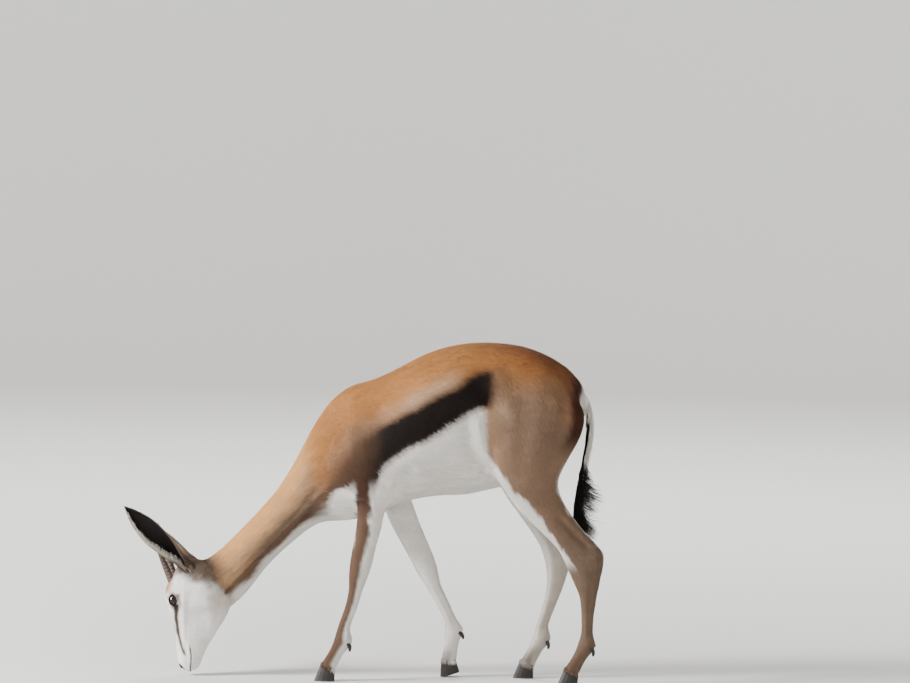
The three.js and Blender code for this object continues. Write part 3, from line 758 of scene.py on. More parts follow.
def with_ears(mesh):
    """Joins the thin ears to the skin"""
    base = object_of("base", mesh)
    tools = []
    for word in SIDES:
        tool = object_of(f"shell_{word}", mesh_of(f"shell_{word}", *ear_shell(word)))
        union = base.modifiers.new(word, "BOOLEAN")
        union.operation = "UNION"
        union.solver = "MANIFOLD"
        union.object = tool
        tools.append(tool)
    made = bpy.data.meshes.new_from_object(base.evaluated_get(bpy.context.evaluated_depsgraph_get()))
    for used in (base, *tools):
        bpy.data.objects.remove(used)
    return made


def skin_depths(points, labels, edges):
    """How far the skin lies under the solids' surface, to leave room for the coat"""
    depth = spread(COATS[labels, :1], edges, 24)[:, 0]
    local = to_head(points)
    outside, close = lids_near(local, EYE_SOCKET)
    depth = np.where(close, np.minimum(depth, 0.0006 + 0.1 * np.maximum(outside, 0)), depth)
    depth = np.where(local[:, 0] > 0.22, np.minimum(depth, 0.0009), depth)
    return np.where(labels == PART["tail"], 0, depth)


def make_skin():
    """One closed skin over the flesh and the ears, with its points and their parts"""
    sources, source_triangles, source_labels = flesh()
    points, quads = voxel_skin(sources, source_triangles)
    edges = edges_of(cut(quads))
    to_fine = np.linalg.norm(points - np.array(FINE_CENTRE) - [SHIFT, 0, 0], axis=1)
    weight = (1 - 0.45 * (1 - step(0.17, 0.24, to_fine)))[:, None]
    points = smoothed(points, edges, 26, weight)
    away = np.linalg.norm(eye_field(to_head(points))[2], axis=1)
    points = smoothed(points, edges, 14, swell(away, LID_REACH, 0.009)[:, None])
    mesh = mesh_of("skin", points, quads)

    for share in (1.0, 0.5):
        refine(mesh, lambda local: near_details(local, share))
    points = read(mesh.vertices, "co", 3)
    triangles = triangles_of(mesh)
    labels = nearest_part(points, sources, source_labels)
    depth = skin_depths(points, labels, edges_of(triangles))
    normals = normals_of(points, triangles)
    head = labels == PART["head"]
    forms = np.where(head, 0, body_forms(points, normals, labels))
    points = points + normals * (forms - depth - GROWN)[:, None]
    points = carved_lids(carved_face(points, normals_of(points, triangles), head), head)
    mesh.vertices.foreach_set("co", points.astype(np.float32).ravel())
    mesh.update()
    mesh = with_ears(mesh)
    mesh.shade_smooth()
    points = read(mesh.vertices, "co", 3)
    ear_points = [ear_shell(word)[0] for word in SIDES]
    ear_labels = [np.full(len(found), PART[f"ear_{word}"]) for word, found in zip(SIDES, ear_points)]
    sources = np.concatenate([sources, *ear_points])
    labels = nearest_part(points, sources, np.concatenate([source_labels, *ear_labels]))
    return mesh, points, labels


# Markings, in places of the side view

RIDGE = (
    (-0.446, 0.222), (-0.422, 0.250), (-0.388, 0.270), (-0.347, 0.308), (-0.298, 0.360),
    (-0.246, 0.421), (-0.207, 0.486), (-0.172, 0.556), (-0.130, 0.620), (-0.085, 0.655),
    (-0.038, 0.669), (0.015, 0.694), (0.070, 0.724), (0.125, 0.745), (0.182, 0.756),
    (0.238, 0.757), (0.294, 0.751), (0.347, 0.733), (0.398, 0.703), (0.430, 0.669),
)
THROAT = (
    (-0.352, 0.150), (-0.322, 0.171), (-0.292, 0.208), (-0.265, 0.244), (-0.234, 0.277),
    (-0.203, 0.305), (-0.172, 0.331), (-0.142, 0.347), (-0.108, 0.350),
)
BAND_TOP = (
    (-0.062, 0.507), (-0.045, 0.525), (-0.027, 0.541), (-0.010, 0.557), (0.008, 0.567), (0.026, 0.575),
    (0.043, 0.585), (0.061, 0.596), (0.078, 0.608), (0.096, 0.617), (0.114, 0.626), (0.131, 0.635),
    (0.149, 0.644), (0.166, 0.656), (0.184, 0.667), (0.202, 0.677), (0.219, 0.682), (0.246, 0.689),
)
BAND_BOTTOM = (
    (-0.031, 0.401), (-0.027, 0.432), (-0.017, 0.468), (-0.004, 0.490), (0.009, 0.500), (0.027, 0.511),
    (0.044, 0.524), (0.062, 0.532), (0.080, 0.540), (0.097, 0.548), (0.115, 0.560), (0.132, 0.574),
    (0.150, 0.589), (0.167, 0.603), (0.185, 0.612), (0.203, 0.617), (0.220, 0.621), (0.247, 0.637),
)
THIGH_FRONT = (
    (0.212, 0.640), (0.212, 0.606), (0.215, 0.561), (0.221, 0.517), (0.243, 0.484), (0.268, 0.451),
    (0.284, 0.429), (0.318, 0.402), (0.346, 0.364), (0.394, 0.300),
)
RUMP_REAR = (
    (0.430, 0.669), (0.438, 0.614), (0.437, 0.592), (0.430, 0.565), (0.422, 0.538), (0.411, 0.518),
    (0.398, 0.505), (0.380, 0.467),
)
FAR_STRIP = ((-0.052, 0.458), (-0.032, 0.426), (0.002, 0.386), (0.026, 0.340), (0.046, 0.300))
# Soft patches on the body: most hold painted shade, one is a painted highlight, some are partly the
# coat's own colour
SHADES = (  # centre (x, z), size (x, z), edge, colour, strength of the body's soft patches
    # partly the nape's own darker hair, partly painted shadow of the ear and neck
    (-0.398, 0.242, 0.048, 0.032, 3, "nape", 0.90),
    # painted shadow behind the shoulder blade
    (-0.026, 0.560, 0.020, 0.060, 2, "haze_and_shade", 0.48),
    # partly the shoulder's own brown, partly painted shade behind the shoulder blade
    (-0.075, 0.512, 0.056, 0.068, 3, "haze_and_shade", 0.60),
    # a darker patch below the point of the hip
    (0.247, 0.660, 0.034, 0.038, 3, "haze_and_shade", 0.55),
    # painted shade over the rump above the thigh
    (0.352, 0.630, 0.084, 0.056, 3, "haunch", 0.80),
    # a faint darker patch on the thigh
    (0.300, 0.560, 0.070, 0.070, 3, "haze_and_shade", 0.18),
    # painted highlight on the flank fold in front of the hip
    (0.258, 0.606, 0.015, 0.022, 2, "pale", 0.60),
    # partly the dark brown between band and shoulder, partly painted shade of the shoulder
    (-0.056, 0.446, 0.088, 0.064, 4, "shoulder", 0.95),
)
FACE_STRIPE = ((0.100, 0.014), (0.130, 0.016), (0.165, 0.012), (0.195, 0.002), (0.212, -0.007))


# Where the legs' colours give way to the trunk's
LEG_TOPS = {"fore": (0.40, 0.46), "hind": (0.43, 0.52)}


def gap(x, z, line):
    """Signed distance to a line, positive on its left"""
    line = np.asarray(line)
    best = np.full(len(x), np.inf)
    signed = np.zeros(len(x))
    for (x0, z0), (x1, z1) in zip(line[:-1], line[1:]):
        length = math.hypot(x1 - x0, z1 - z0)
        ux, uz = (x1 - x0) / length, (z1 - z0) / length
        along = np.clip((x - x0) * ux + (z - z0) * uz, 0, length)
        away = np.hypot(x - x0 - along * ux, z - z0 - along * uz)
        side = ux * (z - z0) - uz * (x - x0)
        closer = away < best
        best = np.where(closer, away, best)
        signed = np.where(closer, np.copysign(away, side), signed)
    return signed


def mixed(under, over, share):
    return under + (over - under) * np.asarray(share)[..., None]


def layered(tint, *layers):
    """A colour with others laid over it in turn, each by its name and share"""
    for name, share in layers:
        tint = mixed(tint, COLOURS[name], share)
    return tint


def trunk_colours(points, normals):
    x, y, z = drawn(points)
    wave = ripple(points, 0.05, 3) * 0.005 + ripple(points, 0.016, 4) * 0.002
    deep = np.abs(gap(x, z, RIDGE)) + 1.6 * wave
    above = gap(x, z, BAND_TOP)
    below = gap(x, z, BAND_BOTTOM) + 0.3 * wave
    rear = np.abs(gap(x, z, RUMP_REAR))
    outer = normals[:, 1] * np.sign(points[:, 1])

    # Towards the rump the back darkens to the ridge colour: partly its own red-brown, partly painted
    # shade
    back = layered(COLOURS["back"], ("ridge", 0.85 * step(0.075, 0.0, deep) * step(0.12, 0.34, x)))
    flank = layered(COLOURS["flank"], ("haunch", step(0.20, 0.28, x) * step(0.66, 0.60, z)))
    pale = swell(above, 0.026, 0.020) * step(0.0, 0.05, x) * step(0.18, 0.11, x)
    tint = layered(mixed(back, flank, step(0.045, 0.115, deep)), ("pale", 0.65 * pale))
    # Painted shade on the neck's lower side, weaker towards the head
    low = step(0.042, 0.078, deep) * (0.4 + 0.6 * step(-0.33, -0.26, x))
    neck = layered(COLOURS["neck_top"], ("neck_side", step(0.014, 0.045, deep)), ("neck_low_shade", low))
    tint = mixed(tint, neck, step(-0.145, -0.215, x + 0.35 * (z - 0.5)))

    for middle, height, wide, high, edge, colour, strength in SHADES:
        near = np.exp(-(np.hypot((x - middle) / wide, (z - height) / high) ** edge))
        tint = layered(tint, (colour, strength * near))
    rump = 0.95 * step(0.046, 0.016, rear + wave) * step(0.50, 0.56, z)
    above = above + 0.4 * wave
    # Partly the coat's own brown haze over the band's upper edge, partly painted shade
    haze_and_shade = step(0.034, 0.010, above) * step(0.0, 0.01, below) * step(0.266, 0.215, x)
    band = step(0.017, 0.009, above) * step(-0.006, -0.001, below)
    band = band * step(0.236, 0.220, x + 0.6 * wave) * step(-0.072, -0.002, x)
    tint = layered(tint, ("rump_edge", rump), ("haze_and_shade", 0.7 * haze_and_shade), ("band", band))

    share = white_share(x, z, wave, below, outer, -normals[:, 2])
    far = step(0.0, 0.012, points[:, 1]) * step(0.452, 0.436, z)
    far = far * step(-0.080, -0.070, x) * step(0.080, 0.070, x)
    strip = far_strip(x, z, wave) * step(-0.45, 0.0, outer)
    tint = mixed(tint, foreleg_brown(z), far * strip)
    wide = np.hypot(y / 0.044, np.maximum(z - 0.615, 0) / 0.052) + 10 * wave
    patch = step(1.06, 0.86, wide) * step(0.034, 0.022, rear) * step(0.39, 0.41, x)
    line = step(0.009, 0.004, y) * step(0.10, 0.22, x) * step(0.035, 0.020, np.abs(deep)) * 0.6
    share = share + (1 - strip - share) * far
    return layered(tint, ("belly", share), ("belly", np.maximum(patch, line)))


def white_share(x, z, wave, below, outer, down):
    """The white of the belly, the breast, the throat and the thighs' inner sides"""
    behind = gap(x, z, THIGH_FRONT) + 0.2 * wave
    belly = step(-0.001, -0.007, below) * step(0.004, -0.004, behind)
    belly = belly * step(-0.050, -0.030, x + 0.2 * (0.42 - z))
    arch = 1 - np.hypot((x + 0.0985) / 0.0315, np.maximum(z - 0.392, 0) / 0.040)
    breast = step(-0.10, 0.12, arch + 8 * wave) * step(0.46, 0.43, z)
    throat = step(0.024, 0.010, np.abs(gap(x, z, THROAT)) + wave) * step(-0.05, -0.12, x)
    under = step(0.35, 0.75, down) * step(0.47, 0.42, z) * step(-0.2, -0.1, x)
    inner = step(0.05, -0.35, outer) * step(0.52, 0.46, z) * step(0.16, 0.22, x)
    return np.max([belly, breast, throat, under, inner], axis=0)


def far_strip(x, z, wave):
    """The brown from the shoulder to the front of the far foreleg, which stands further back"""
    return step(0.019, 0.012, np.abs(gap(x, z, FAR_STRIP)) + 0.4 * wave)


def foreleg_brown(z):
    return layered(COLOURS["leg_front"], ("shoulder", step(0.33, 0.43, z)))


def leg_colours(name, points, normals):
    x, _, z = drawn(points)
    wave = ripple(points, 0.02, 5) * 0.03
    across = leg_across(name, x, z) + 0.6 * wave
    outer = -normals[:, 1] * SIDES[name.split("_")[1]] + wave
    white = COLOURS["belly"]
    if name.startswith("fore"):
        brown = foreleg_brown(z)
        low = step(0.64, 0.42, across)
        high = step(-0.072, -0.066, x + 0.1 * wave) * step(-0.034, -0.041, x + 0.1 * wave)
        if name == "foreleg_right":
            high = far_strip(x, z, 0.1 * wave)
        share = (low + (high - low) * step(0.29, 0.34, z)) * step(-0.45, 0.0, outer)
    else:
        brown = layered(COLOURS["shank"], ("haunch", step(0.30, 0.40, z)))
        near_x = x + leg_front("hindleg_left", z) - leg_front(name, z)
        strip = step(0.004, -0.003, gap(near_x, z, THIGH_FRONT) + 0.1 * wave) * step(0.25, 0.29, z)
        rear = step(0.94, 1.0, across) * step(0.27, 0.30, z)
        share = step(-0.40, 0.05, outer) * (1 - strip) * (1 - 0.8 * rear)
        # Painted shade: the hind legs' white inner sides are greyed
        inner = step(0.15, 0.35, across) * step(0.44, 0.36, z) * step(-0.1, -0.5, outer)
        white = layered(white, ("inner_leg_shade", inner))
    pastern = 0.7 * step(0.085, 0.04, z) * step(0.75, 0.40, across)
    return layered(mixed(white, brown, share), ("pastern", pastern))


def head_colours(points):
    local = to_head(points)
    x, y, z = local[:, 0], np.abs(local[:, 1]), local[:, 2]
    wave = ripple(points, 0.02, 6) * 0.004 + ripple(points, 0.007, 7) * 0.0015
    crown = step(0.094, 0.060, x + wave) * step(0.010, 0.034, z - 0.5 * (y - 0.012) + wave)
    bridge = step(0.020, 0.013, y + wave) * step(0.012, 0.024, z) * step(0.215, 0.15, x)
    spot = np.exp(-(np.hypot((x - 0.054) / 0.018, (z - 0.036) / 0.012) ** 3)) * step(0.008, 0.018, y)
    outside, near = lids_near(local, LID_REACH)
    from_stripe = np.abs(gap(x, z, FACE_STRIPE)) + 0.12 * wave + 0.02 * (x - 0.13)
    stripe = step(0.0068, 0.0022, from_stripe) * step(0.006, 0.012, y)
    mouth = step(0.0015, 0.0006, np.abs(z - mouth_height(x))) * step(0.182, 0.200, x)
    into, beside = nostril_field(local)
    pad = step(-1.6, -0.6, into) * beside * step(NOSE_X, 0.234, x)
    middle = step(0.007, 0.004, y) * step(0.244, 0.247, x) * step(-0.010, -0.007, z)
    return layered(
        COLOURS["face"],
        ("throat", step(-0.045, -0.075, z + wave) * step(0.15, 0.08, x)),
        ("crown", crown),
        ("bridge", 0.7 * bridge * step(0.02, 0.08, x)),
        # partly the nape's own darker hair, partly painted shadow of the ear and neck
        ("nape", step(0.052, 0.020, x + 0.20 * z + wave)),
        ("spot", 0.7 * spot),
        ("socket", 0.6 * step(0.0100, 0.0030, outside + wave) * near),
        ("face_stripe", 0.95 * stripe * step(0.222, 0.205, x)),
        ("lid", step(0.0034, 0.0016, outside) * near),
        ("nose", mouth),
        ("nose", np.maximum(pad, middle)),
    )


def ear_colours(word, points, normals):
    share, around, out = ear_place(word, points)
    wave = ripple(points, 0.012, 8) * 0.08
    around = around * EARS[word]["lower"]
    lower = around + 0.5 * wave + 0.22 * step(0.45, 0.10, share)
    back = layered(
        COLOURS["nape"],
        ("ear_back", step(0.05, 0.3, share)),
        ("ear_tip", step(0.55, 0.95, share + wave)),
    )
    cup = layered(
        COLOURS["ear_inside"],
        ("fringe", step(0.80, 0.92, lower) * step(0.98, 0.90, share)),
        ("nape", 0.8 * step(0.90, 1.0, -around)),
    )
    return mixed(back, cup, step(0.2, -0.2, (normals * out).sum(1)))


def tail_colours(points):
    share, inner = tail_place(points)
    dark = np.maximum(step(0.60, 0.68, share), step(0.28, 0.36, share) * step(0.1, 0.5, inner))
    return layered(COLOURS["tail"], ("tuft", dark))


def tail_place(points):
    """Share of the tail's length, and how much a place faces the body, -1 to 1"""
    line = np.linspace(0, 1, 60)
    middle = tail_at(line)
    near = np.argmin(np.abs(points[:, None, 2] - middle[None, :, 2]), axis=1)
    across = points[:, 0] - middle[near, 0]
    return line[near], np.clip(-across / 0.006, -1, 1)


def part_colours(name, points, normals):
    if name.startswith("ear"):
        return ear_colours(name.removeprefix("ear_"), points, normals)
    if name == "tail":
        return tail_colours(points)
    trunk = trunk_colours(points, normals)
    if name == "head":
        return mixed(head_colours(points), trunk, step(0.006, -0.020, to_head(points)[:, 0]))
    if name in LEGS:
        low, high = LEG_TOPS[name[:4]]
        return mixed(leg_colours(name, points, normals), trunk, step(low, high, points[:, 2]))
    return trunk


def colours_of(points, normals, labels):
    """The coat's colour at places on any part"""
    tint = np.zeros((len(points), 3))
    for name, index in PART.items():
        chosen = labels == index
        if chosen.any():
            tint[chosen] = part_colours(name, points[chosen], normals[chosen])
    return tint * clumps(points, labels)[:, None]


CLUMPS = {"way": (0.64, 0, 0.77), "stretch": 0.80, "neck": 0.10, "body": 0.07}


def clumps(points, labels):
    """Lighter and darker streaks along the coat, strongest on the neck"""
    way = np.array(CLUMPS["way"])
    long = points - CLUMPS["stretch"] * (points @ way)[:, None] * way
    streak = 0.6 * ripple(long, 0.011, 21) + 0.5 * ripple(long, 0.005, 22)
    flat = points * [0.25, 1, 1]
    soft = 0.5 * ripple(flat, 0.020, 23) + 0.4 * ripple(flat, 0.008, 24)
    soft = soft + 0.4 * ripple(flat, 0.0035, 25)
    fade = step(0.0, 0.03, points[:, 0] - points[:, 0].min())
    neck = (labels == PART["neck"]) * CLUMPS["neck"] * fade
    return 1 + neck * streak + CLUMPS["body"] * soft


# Lie of the coat: places in the side view and the way the hair points there

GUIDES = (
    (-0.470, 0.020, 0.02, 1.0), (-0.440, 0.120, 0.08, 1.0), (-0.420, 0.200, 0.40, 0.9),
    (-0.350, 0.250, 0.70, 0.7), (-0.290, 0.320, 0.64, 0.75), (-0.240, 0.370, 0.62, 0.75),
    (-0.190, 0.460, 0.62, 0.75), (-0.270, 0.260, 0.75, 0.5), (-0.150, 0.400, 0.75, 0.2),
    (-0.130, 0.560, 0.80, 0.5), (-0.070, 0.640, 1.0, 0.15), (-0.070, 0.500, 0.6, -0.6),
    (-0.040, 0.420, 0.2, -1.0), (-0.060, 0.250, 0.0, -1.0), (0.090, 0.250, 0.35, -1.0),
    (0.020, 0.600, 1.0, -0.20), (0.100, 0.720, 1.0, 0.05), (0.200, 0.740, 1.0, -0.05),
    (0.100, 0.580, 1.0, -0.30), (0.200, 0.620, 1.0, -0.35), (0.050, 0.480, 1.0, -0.25),
    (0.150, 0.430, 1.0, 0.10), (0.300, 0.720, 1.0, -0.40), (0.310, 0.620, 0.6, -0.9),
    (0.390, 0.660, 0.5, -1.0), (0.430, 0.590, 0.0, -1.0), (0.300, 0.520, 0.3, -1.0),
    (0.350, 0.400, 0.4, -1.0), (0.430, 0.290, 0.4, -1.0), (0.450, 0.150, 0.0, -1.0),
    (0.360, 0.200, -0.1, -1.0), (-0.090, 0.120, -0.1, -1.0), (0.130, 0.120, 0.2, -1.0),
)


def lie_of(points, normals, labels):
    """The way the hair lies at places on the skin"""
    x, y, z = drawn(points)
    total = np.zeros((len(points), 3))
    for gx, gz, dx, dz in GUIDES:
        near = 1 / ((x - gx) ** 2 + (z - gz) ** 2 + 0.03**2) ** 1.5
        length = math.hypot(dx, dz)
        total[:, 0] += near * dx / length
        total[:, 2] += near * dz / length
    lie = unit(total)
    down = step(0.02, 0.09, y) * step(0.46, 0.54, z) * step(-0.16, -0.05, x)
    lie[:, 2] -= 0.35 * down
    for word in SIDES:
        chosen = labels == PART[f"ear_{word}"]
        lie[chosen] = unit(ear_line(word)[1])
    chosen = labels == PART["tail"]
    lie[chosen] = (0, 0, -1)
    lie -= normals * (lie * normals).sum(1, keepdims=True)
    swirl = ripple(points, 0.035, 9) * 0.16 + ripple(points, 0.012, 10) * 0.10
    lie = unit(lie)
    return unit(lie + np.cross(normals, lie) * swirl[:, None])


# Coat


def sample(points, triangles, weights, draw):
    """Random roots on triangles: the triangle and the shares of its corners"""
    a, b, c = (points[triangles[:, k]] for k in range(3))
    area = 0.5 * np.linalg.norm(np.cross(b - a, c - a), axis=1)
    expected = area * weights
    count = draw.poisson(expected)
    chosen = np.repeat(np.arange(len(triangles)), count)
    u, v = draw.random(len(chosen)), draw.random(len(chosen))
    fold = u + v > 1
    u, v = np.where(fold, 1 - u, u), np.where(fold, 1 - v, v)
    return chosen, np.stack([1 - u - v, u, v], 1)


def blended(values, triangles, chosen, shares):
    return (values[triangles[chosen]] * shares[..., None]).sum(1)


TUFT_FACES = np.array([(0, 2, 1), (0, 1, 3), (1, 2, 3), (2, 0, 3)])


def settled(surface, roots, along, length, normals):
    """Where tips land on the skin, with its normals there. Past an edge they go straight on."""
    reach = roots + along * length[:, None]
    landed, facing = reach.copy(), normals.copy()
    for index, place in enumerate(reach):
        landed[index], facing[index] = surface.find_nearest(place)[:2]
    far = ((landed - roots) * along).sum(1) > 0.75 * length
    lies = (far & ((facing * normals).sum(1) > 0.3))[:, None]
    return np.where(lies, landed, reach), np.where(lies, facing, normals)


def tuft_meshes(name, roots, normals, lie, uv, sizes, surface, material, slot, draw):
    """Closed, flat, four-faced tufts that follow the skin, in as many pieces as they need"""
    count = len(roots)
    chances = ((0.75, 1.25), (0.75, 1.2), (0.3, 1.3))
    length, width, rise = (size * draw.uniform(*span, count) for size, span in zip(sizes, chances))
    swing = draw.normal(0, 0.13, count)[:, None]
    along = lie * np.cos(swing) + np.cross(normals, lie) * np.sin(swing)
    across = np.cross(normals, along)
    landed, tip_normals = settled(surface, roots, along, length, normals)
    own = np.full(count, PART[name])
    jitter = draw.normal(0, 0.0007, roots.shape)
    tint = colours_of(roots + jitter, normals, own)
    tip_tint = mixed(tint, colours_of(landed + jitter, tip_normals, own), TUFT["own_tip"])
    wide = across * (0.5 * width)[:, None]
    sunk = roots - normals * TUFT["sunk"]
    crest = roots + normals * (TUFT["thick"] * width)[:, None]
    points = np.stack([sunk - wide, sunk + wide, crest, landed + tip_normals * rise[:, None]], 1)
    tilt = across * draw.normal(0, TUFT["tilt"], count)[:, None]
    shading = unit(np.stack([normals, normals, normals, tip_normals], 1) + tilt[:, None])
    shade = draw.uniform(0.90, 1.09, (count, 1, 1))
    warm = draw.normal(0, 0.02, (count, 1, 1)) * np.array([1.0, 0.0, -1.0])
    tint = np.stack([tint, tint, tint, tip_tint], 1)
    colours = np.clip(tint * (shade + warm) * np.array(TUFT["light"])[:, None], 0, 1)
    spots = uv[:, None] + patch_spots(4)
    most = MOST_TRIANGLES // len(TUFT_FACES)
    order = np.argsort(roots[:, 0], kind="stable")
    for index, start in enumerate(range(0, count, most)):
        part = order[start : start + most]
        faces = (TUFT_FACES[None] + (np.arange(len(part)) * 4)[:, None, None]).reshape(-1, 3)
        mesh = mesh_of(f"coat_{name}_{index + 1}", points[part].reshape(-1, 3), faces)
        mesh.normals_split_custom_set_from_vertices(shading[part].reshape(-1, 3))
        paint(mesh, colours[part].reshape(-1, 3))
        set_unwrap(mesh, spots[part].reshape(-1, 2)[faces])
        piece(f"coat_{name}_{index + 1}", mesh, material, slot, name)


def patch_spots(count):
    """Steps round a root's place in the unwrap, which give each face an area of its own"""
    turn = np.arange(count) * 2.4
    return PATCH * np.stack([np.cos(turn), np.sin(turn)], -1)


def set_unwrap(mesh, spots):
    """Stores the place of each corner in the unwrap"""
    layer = mesh.uv_layers.new(name="OFBake")
    layer.uv.foreach_set("vector", spots.astype(np.float32).ravel())


def paint(mesh, colours):
    """Stores a colour for each point"""
    layer = mesh.color_attributes.new("tint", "FLOAT_COLOR", "POINT")
    values = np.ones((len(colours), 4), np.float32)
    values[:, :3] = colours
    layer.data.foreach_set("color", values.ravel())


def size_factor(points, labels):
    """How long the hair is at a place, against the usual for its part"""
    x, y, z = drawn(points)
    local = to_head(points)
    outside, _, from_eye, _ = eye_field(local)
    eye = step(0.0, 0.022, outside) * 0.65 + 0.35
    eye = np.where(np.linalg.norm(from_eye, axis=1) < 0.05, eye, 1)
    muzzle, crown = step(0.13, 0.245, local[:, 0]), step(0.06, 0.0, local[:, 0])
    head = eye * (1 - 0.62 * muzzle) * (1 + 0.5 * crown)
    leg = 1 - 0.45 * step(0.30, 0.12, z)
    body = 1 + 0.25 * step(0.66, 0.72, z) - 0.15 * step(0.45, 0.40, z)
    rump = 1 + 0.5 * step(0.40, 0.43, x) * step(0.05, 0.03, y)
    factor = np.where(labels == PART["head"], head, body * rump)
    return np.where(np.isin(labels, [PART[name] for name in LEGS]), leg, factor)


def bare(points, labels):
    """Places without hair: the eye, the lips, the nose and under the hooves"""
    local = to_head(points)
    outside, near = lids_near(local, 0.022)
    gape = (np.abs(local[:, 2] - mouth_height(local[:, 0])) < 0.0009) & (local[:, 0] > 0.190)
    into, beside = nostril_field(local)
    nose = (into > -0.25) & beside & (local[:, 0] > NOSE_X)
    head = (labels == PART["head"]) & ((near & (outside < 0.0014)) | gape | nose)
    legs = np.isin(labels, [PART[name] for name in LEGS])
    return head | (legs & (points[:, 2] < 0.022))


def grow_coat(mesh, points, labels, material):
    """Tufts on every part of the skin but the tail"""
    triangles = triangles_of(mesh)
    normals = normals_of(points, triangles)
    surface = BVHTree.FromPolygons(points.tolist(), triangles.tolist())
    loops = read(mesh.loop_triangles, "loops", 3, np.int32)
    uv = read(mesh.uv_layers["OFBake"].uv, "vector", 2)
    by_triangle = np.sort(labels[triangles], axis=1)[:, 1]
    usual = spread(COATS[labels, 1:], edges_of(triangles), 30)
    for name, index in PART.items():
        draw = np.random.default_rng(100 + index)
        chosen = by_triangle == index
        if name == "tail" or not chosen.any():
            continue
        corner, loop = triangles[chosen], loops[chosen]
        middle = points[corner].mean(1)
        own = np.full(len(middle), index)
        dense = usual[corner].mean(1)[:, 3] * 1e4 / size_factor(middle, own) ** 1.3
        found, shares = sample(points, corner, dense * ~bare(middle, own), draw)
        roots = blended(points, corner, found, shares)
        facing = unit(blended(normals, corner, found, shares))
        length, width, rise, _ = blended(usual, corner, found, shares).T
        own = np.full(len(roots), index)
        spots = blended(uv, loop, found, shares)
        lie = lie_of(roots, facing, own)
        factor = size_factor(roots, own)
        slot = "ear" if name.startswith("ear") else "coat"
        sizes = (length * factor, width * factor**0.6, rise * factor)
        tuft_meshes(name, roots, facing, lie, spots, sizes, surface, material, slot, draw)


# Materials


class Nodes:
    """A material's nodes, made and linked by name"""

    def __init__(self, name):
        self.material = bpy.data.materials.new(name)
        self.material.use_nodes = True
        self.tree = self.material.node_tree
        self.shader = self.tree.nodes["Principled BSDF"]

    def add(self, kind, settings=None, **inputs):
        node = self.tree.nodes.new(kind)
        for key, value in (settings or {}).items():
            setattr(node, key, value)
        self.fill(node, **inputs)
        return node

    def fill(self, node, **inputs):
        for key, value in inputs.items():
            self.put(node.inputs[key.replace("_", " ")], value)

    def put(self, socket, value):
        if isinstance(value, bpy.types.NodeSocket):
            self.tree.links.new(value, socket)
        else:
            socket.default_value = value

    def noise(self, scale, detail=3.0, rough=0.6, stretch=(1, 1, 1)):
        where = self.add("ShaderNodeTexCoord").outputs["Object"]
        places = self.add("ShaderNodeMapping", Vector=where, Scale=stretch).outputs["Vector"]
        inputs = {"Vector": places, "Scale": scale, "Detail": detail, "Roughness": rough}
        return self.add("ShaderNodeTexNoise", **inputs).outputs["Fac"]

    def scaled(self, value, low, high):
        return self.add("ShaderNodeMapRange", Value=value, To_Min=low, To_Max=high).outputs["Result"]

    def times(self, colour, share):
        node = self.add("ShaderNodeMix", {"data_type": "RGBA", "blend_type": "MULTIPLY"})
        node.inputs["Factor"].default_value = 1.0
        self.put(node.inputs[6], colour)
        self.put(node.inputs[7], share)
        return node.outputs[2]

    def tint(self):
        return self.add("ShaderNodeAttribute", {"attribute_name": "tint"}).outputs["Color"]

    def finish(self, colour, rough, bump=None, **inputs):
        """Sets up the shader. The bump is its height, strength and distance."""
        self.fill(self.shader, Base_Color=colour, Roughness=rough, **inputs)
        if bump:
            height, strength, distance = bump
            node = self.add("ShaderNodeBump", Height=height, Strength=strength, Distance=distance)
            self.fill(self.shader, Normal=node.outputs["Normal"])
        return self.material


def hair_material(name, rough, sheen, streak):
    made = Nodes(name)
    fine = made.noise(900.0, 2.0, 0.6, streak)
    broad = made.noise(55.0, 4.0, 0.6)
    shade = made.scaled(fine, 0.82, 1.18)
    tone = made.scaled(broad, 0.93, 1.07)
    colour = made.times(made.times(made.tint(), shade), tone)
    rough = made.scaled(fine, rough - 0.08, rough + 0.10)
    sheens = {"Sheen_Weight": sheen, "Sheen_Roughness": 0.45}
    return made.finish(colour, rough, (fine, 0.35, 0.0005), **sheens, Specular_IOR_Level=0.14)


def horn_material():
    made = Nodes("horn_keratin")
    streak = made.noise(420.0, 4.0, 0.65, (1.6, 1.6, 0.35))
    broad = made.noise(70.0, 3.0, 0.5)
    shade = made.scaled(streak, 0.55, 1.45)
    colour = made.times(made.tint(), shade)
    rough = made.scaled(broad, 0.40, 0.66)
    return made.finish(colour, rough, (streak, 0.55, 0.0007), Specular_IOR_Level=0.45)


def hoof_material():
    made = Nodes("hoof_keratin")
    streak = made.noise(500.0, 4.0, 0.6, (1, 1, 0.3))
    bands = made.noise(130.0, 3.0, 0.6, (0.2, 0.2, 1.8))
    shade = made.scaled(bands, 0.6, 1.5)
    colour = made.times(made.tint(), shade)
    rough = made.scaled(streak, 0.34, 0.62)
    return made.finish(colour, rough, (streak, 0.4, 0.0005), Specular_IOR_Level=0.45)


def eye_material():
    made = Nodes("eye_wet")
    fibres = made.noise(900.0, 3.0, 0.6)
    shade = made.scaled(fibres, 0.75, 1.25)
    colour = made.times(made.tint(), shade)
    rough = made.scaled(fibres, 0.06, 0.14)
    wet = {"Specular_IOR_Level": 0.30, "Coat_Weight": 0.25, "Coat_Roughness": 0.03}
    return made.finish(colour, rough, (fibres, 0.05, 0.0002), **wet)


# Eyes, horns, hooves and the tail's hair


